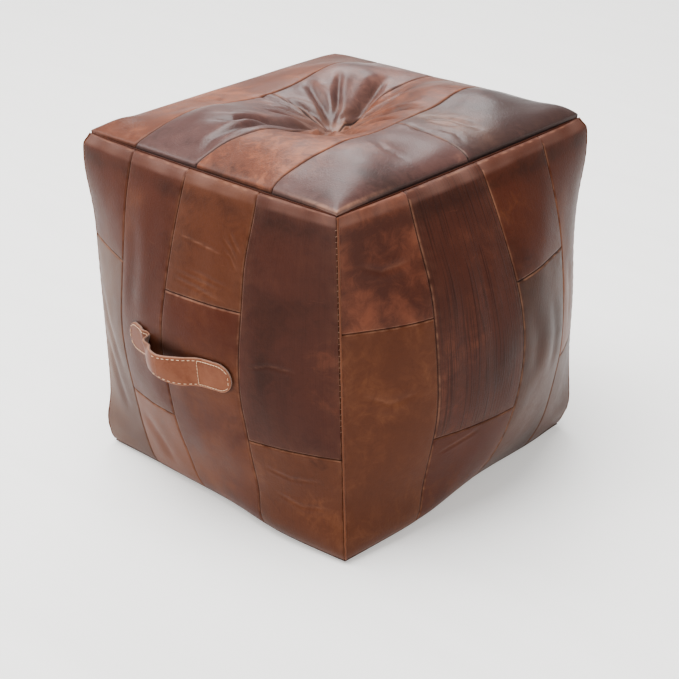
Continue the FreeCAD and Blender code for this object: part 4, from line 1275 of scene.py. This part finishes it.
def strap_point(s, v, depth):
    """A point of the strap: along it, across it from -1 to 1, and out from its inner side."""
    x, y, out_x, out_y, gap = [np.interp(s, RUN, column) for column in (*PATH.T, *OUTWARD.T, GAP)]
    z = HANDLE_Z + np.interp(x, RISE_LINE[:, 0], RISE_LINE[:, 1]) + v * half_width(s)
    free = smooth(gap / 10)
    follow = (front_out(x, HANDLE_Z + 0 * z) - front_out(x, z)) * (1 - free)
    curl = smooth((v - 0.05) / 0.9) * np.sin((s - CURL_AT) / CURL_LONG * math.pi) * bump((s - CURL_AT) / 11)
    out = depth - free * 1.6 * v**2 + CURL_DEEP * curl
    return np.stack([x + out_x * out, y + out_y * out + follow, z], -1)


def strap_piece(name, s_low, s_high, depths, narrower, marks_of=None):
    """Half of one layer of the strap."""
    tip = STRAP_HALF * (1 - np.cos(np.linspace(0, math.pi / 2, 14)))
    s_places = s_low + (s_high - s_low) * np.linspace(0, 1, 110)
    s_places = np.concatenate([s_places, tip[tip > s_low], LENGTH - tip])
    s_places = np.unique(np.round(s_places[(s_places >= s_low) & (s_places <= s_high)], 3))
    upper = np.array([0.2, 0.4, 0.6, 0.75, 0.85, 0.92, 0.96, 0.985, 1])
    v_places = np.concatenate([-upper[::-1], [0], upper])
    s, v = np.meshgrid(s_places, v_places * (1 - narrower), indexing="ij")
    inset = (1 - np.abs(v_places)) * half_width(s)
    outer = strap_point(s, v, depths[1] - 0.45 * edge_of(inset, 0, 1))
    inner = strap_point(s, v, depths[0])
    return plate(name, outer, inner, marks_of and marks_of(s, inset), flip=True)


def face_marks(s, inset):
    """The strap's face: pale cut edges, and a left third painted greyer and a little darker, a painted
    reflection where it turns up to the light.
    """
    x = np.interp(s, RUN, PATH[:, 0])
    worn = 0.8 * edge_of(inset, 0, 1.1) + 0.12
    # painted reflection on the upturned left third: set darker here and greyed with painted sheen
    shade = 0.1 * smooth((x + 26) / 8) - 0.05
    painted_sheen = 0.7 * edge_of(x, -24, 8) * smooth((x + 46) / 8) + 0.25 * (x < -40)
    return {"worn": worn, "shade": shade, "painted_sheen": painted_sheen}


STITCH_INSET = 2.6
# how far apart the stitches are, and how long: round the sewn ends, along the free part, and across
PAD_PITCH, PAD_LONG = 3.4, 3.1
FREE_PITCH, FREE_LONG = 6.0, 3.4
ACROSS_PITCH, ACROSS_LONG = 3.9, 3.5


def strap_stitch(ends, middle):
    """A stitch on the strap's face. Its ends and its middle are places along and across the strap."""
    a, b = [strap_point(s, v, FACE_DEPTH[1] + 0.05) for s, v in ends]
    return a, b, 0.35 * (strap_point(*middle, 1.0) - strap_point(*middle, 0.0))


def stitch_row(s_low, s_high, sign, pitch, long):
    """Stitches along the strap at an inset from one edge."""

    def spot(s):
        return s, sign * max(0.0, 1 - STITCH_INSET / half_width(s))

    count = max(1, int((s_high - s_low) / pitch))
    middles = s_low + (s_high - s_low) * (np.arange(count) + 0.5) / count
    return [strap_stitch([spot(s - long / 2), spot(s + long / 2)], spot(s)) for s in middles]


def strap_stitches(word):
    """Thread round one sewn end, across its start, and along its half of the free part."""
    left, tip = word == "left", 4.0
    pad_s = along_strap(-44 if left else 37)
    pad = (tip, pad_s) if left else (pad_s, LENGTH - tip)
    free = (along_strap(-22), MIDDLE) if left else (MIDDLE, pad_s - 1)
    pairs = []
    for sign in (-1, 1):
        pairs += stitch_row(*pad, sign, PAD_PITCH, PAD_LONG)
        pairs += stitch_row(*free, sign, FREE_PITCH, FREE_LONG)
    end_s = tip - 1 if left else LENGTH - tip + 1
    for s, reach in ((pad_s, 1 - STITCH_INSET / STRAP_HALF), (end_s, 0.6)):
        count = int(2 * reach * half_width(s) / ACROSS_PITCH)
        half_long = ACROSS_LONG / 2 / half_width(s)
        for v in -reach + 2 * reach * (np.arange(count) + 0.5) / count:
            pairs.append(strap_stitch([(s, v - half_long), (s, v + half_long)], (s, v)))
    return stitches(f"strap_stitches_{word}", pairs, STRAP_THREAD)


def blend_strap(piece):
    """Bakes a half of the strap's placing into its points; it bends nothing."""
    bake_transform(piece)


def half_strap(word, ends, nodes):
    """Half of the strap: its leather face, its lining and its stitches, with the CAD nodes they stand for."""
    pieces = (
        strap_piece(f"strap_face_{word}", *ends, FACE_DEPTH, 0.0, face_marks),
        strap_piece(f"strap_lining_{word}", *ends, LINING_DEPTH, 0.015),
        strap_stitches(word),
    )
    for piece, slot, replaced in zip(pieces, ("leather_strap", "leather_suede", "thread"), nodes):
        finish_with(piece, slot, *replaced, body=None)
        blend_strap(piece)


LEFT_NODES = (["handle_end_left"], ["handle_lining"], ["handle_end_stitches"])
RIGHT_NODES = (["handle_end_right", "handle_grip"], [], ["handle_grip_stitches"])
half_strap("left", (0.02, MIDDLE), LEFT_NODES)
half_strap("right", (MIDDLE, LENGTH - 0.02), RIGHT_NODES)

# ---- stage, lights and camera

TURN, RISE, ROLL = math.radians(44.35), math.radians(24.25), math.radians(-1.31)
DISTANCE, AIM_Z = 1.9911, 0.1875
SENSOR, LENS, SHIFT_UP = 36.0, 92.64, -0.075
FLOOR_HALF, FLOOR_Z = 12.0 / MM, -0.6


def camera():
    """The camera, at the reference view's angle."""
    data = bpy.data.cameras.new("camera")
    data.sensor_width, data.lens, data.shift_y = SENSOR, LENS, SHIFT_UP
    thing = new_object("camera", data)
    turned = Matrix.Rotation(TURN, 4, "Z") @ Matrix.Rotation(math.pi / 2 - RISE, 4, "X")
    turned = turned @ Matrix.Rotation(ROLL, 4, "Z")
    thing.matrix_world = Matrix.Translation((0, 0, AIM_Z)) @ turned @ Matrix.Translation((0, 0, DISTANCE))
    bpy.context.scene.camera = thing


def floor():
    """A pale, plain floor."""
    square = ((-1, -1), (1, -1), (1, 1), (-1, 1))
    corners = [(x * FLOOR_HALF, y * FLOOR_HALF, FLOOR_Z) for x, y in square]
    thing = mesh_piece("floor", corners, [[0, 1, 2, 3]])
    material, tree, _ = new_material("floor")
    grain = coordinates(tree, (2, 26, 2)).noise(1, 4, 0.6)
    tint = mix(grain, srgb(226, 224, 221), srgb(238, 237, 235))
    surface(tree, Base_Color=tint, Roughness=0.5, Emission_Color=srgb(255, 254, 250), Emission_Strength=0.52)
    thing.data.materials.append(material)


def soft_light(name, where, size, power):
    """A round soft light that points at the pouf."""
    data = bpy.data.lights.new(name, "AREA")
    data.shape, data.size, data.energy = "DISK", size, power
    thing = new_object(name, data)
    thing.location = where
    thing.rotation_euler = (Vector((0, 0, 0.2)) - Vector(where)).to_track_quat("-Z", "Y").to_euler()


camera()
floor()
soft_light("overhead", (-0.4, -0.5, 4.0), 3.6, 450)
soft_light("left_window", (-3.2, -1.6, 2.0), 2.4, 100)
soft_light("far_window", (-2.0, 2.2, 2.9), 1.8, 60)
world = bpy.data.worlds.new("room")
world.use_nodes = True
background = world.node_tree.nodes["Background"].inputs
background["Color"].default_value = srgb(240, 240, 240)
background["Strength"].default_value = 0.75
bpy.context.scene.world = world
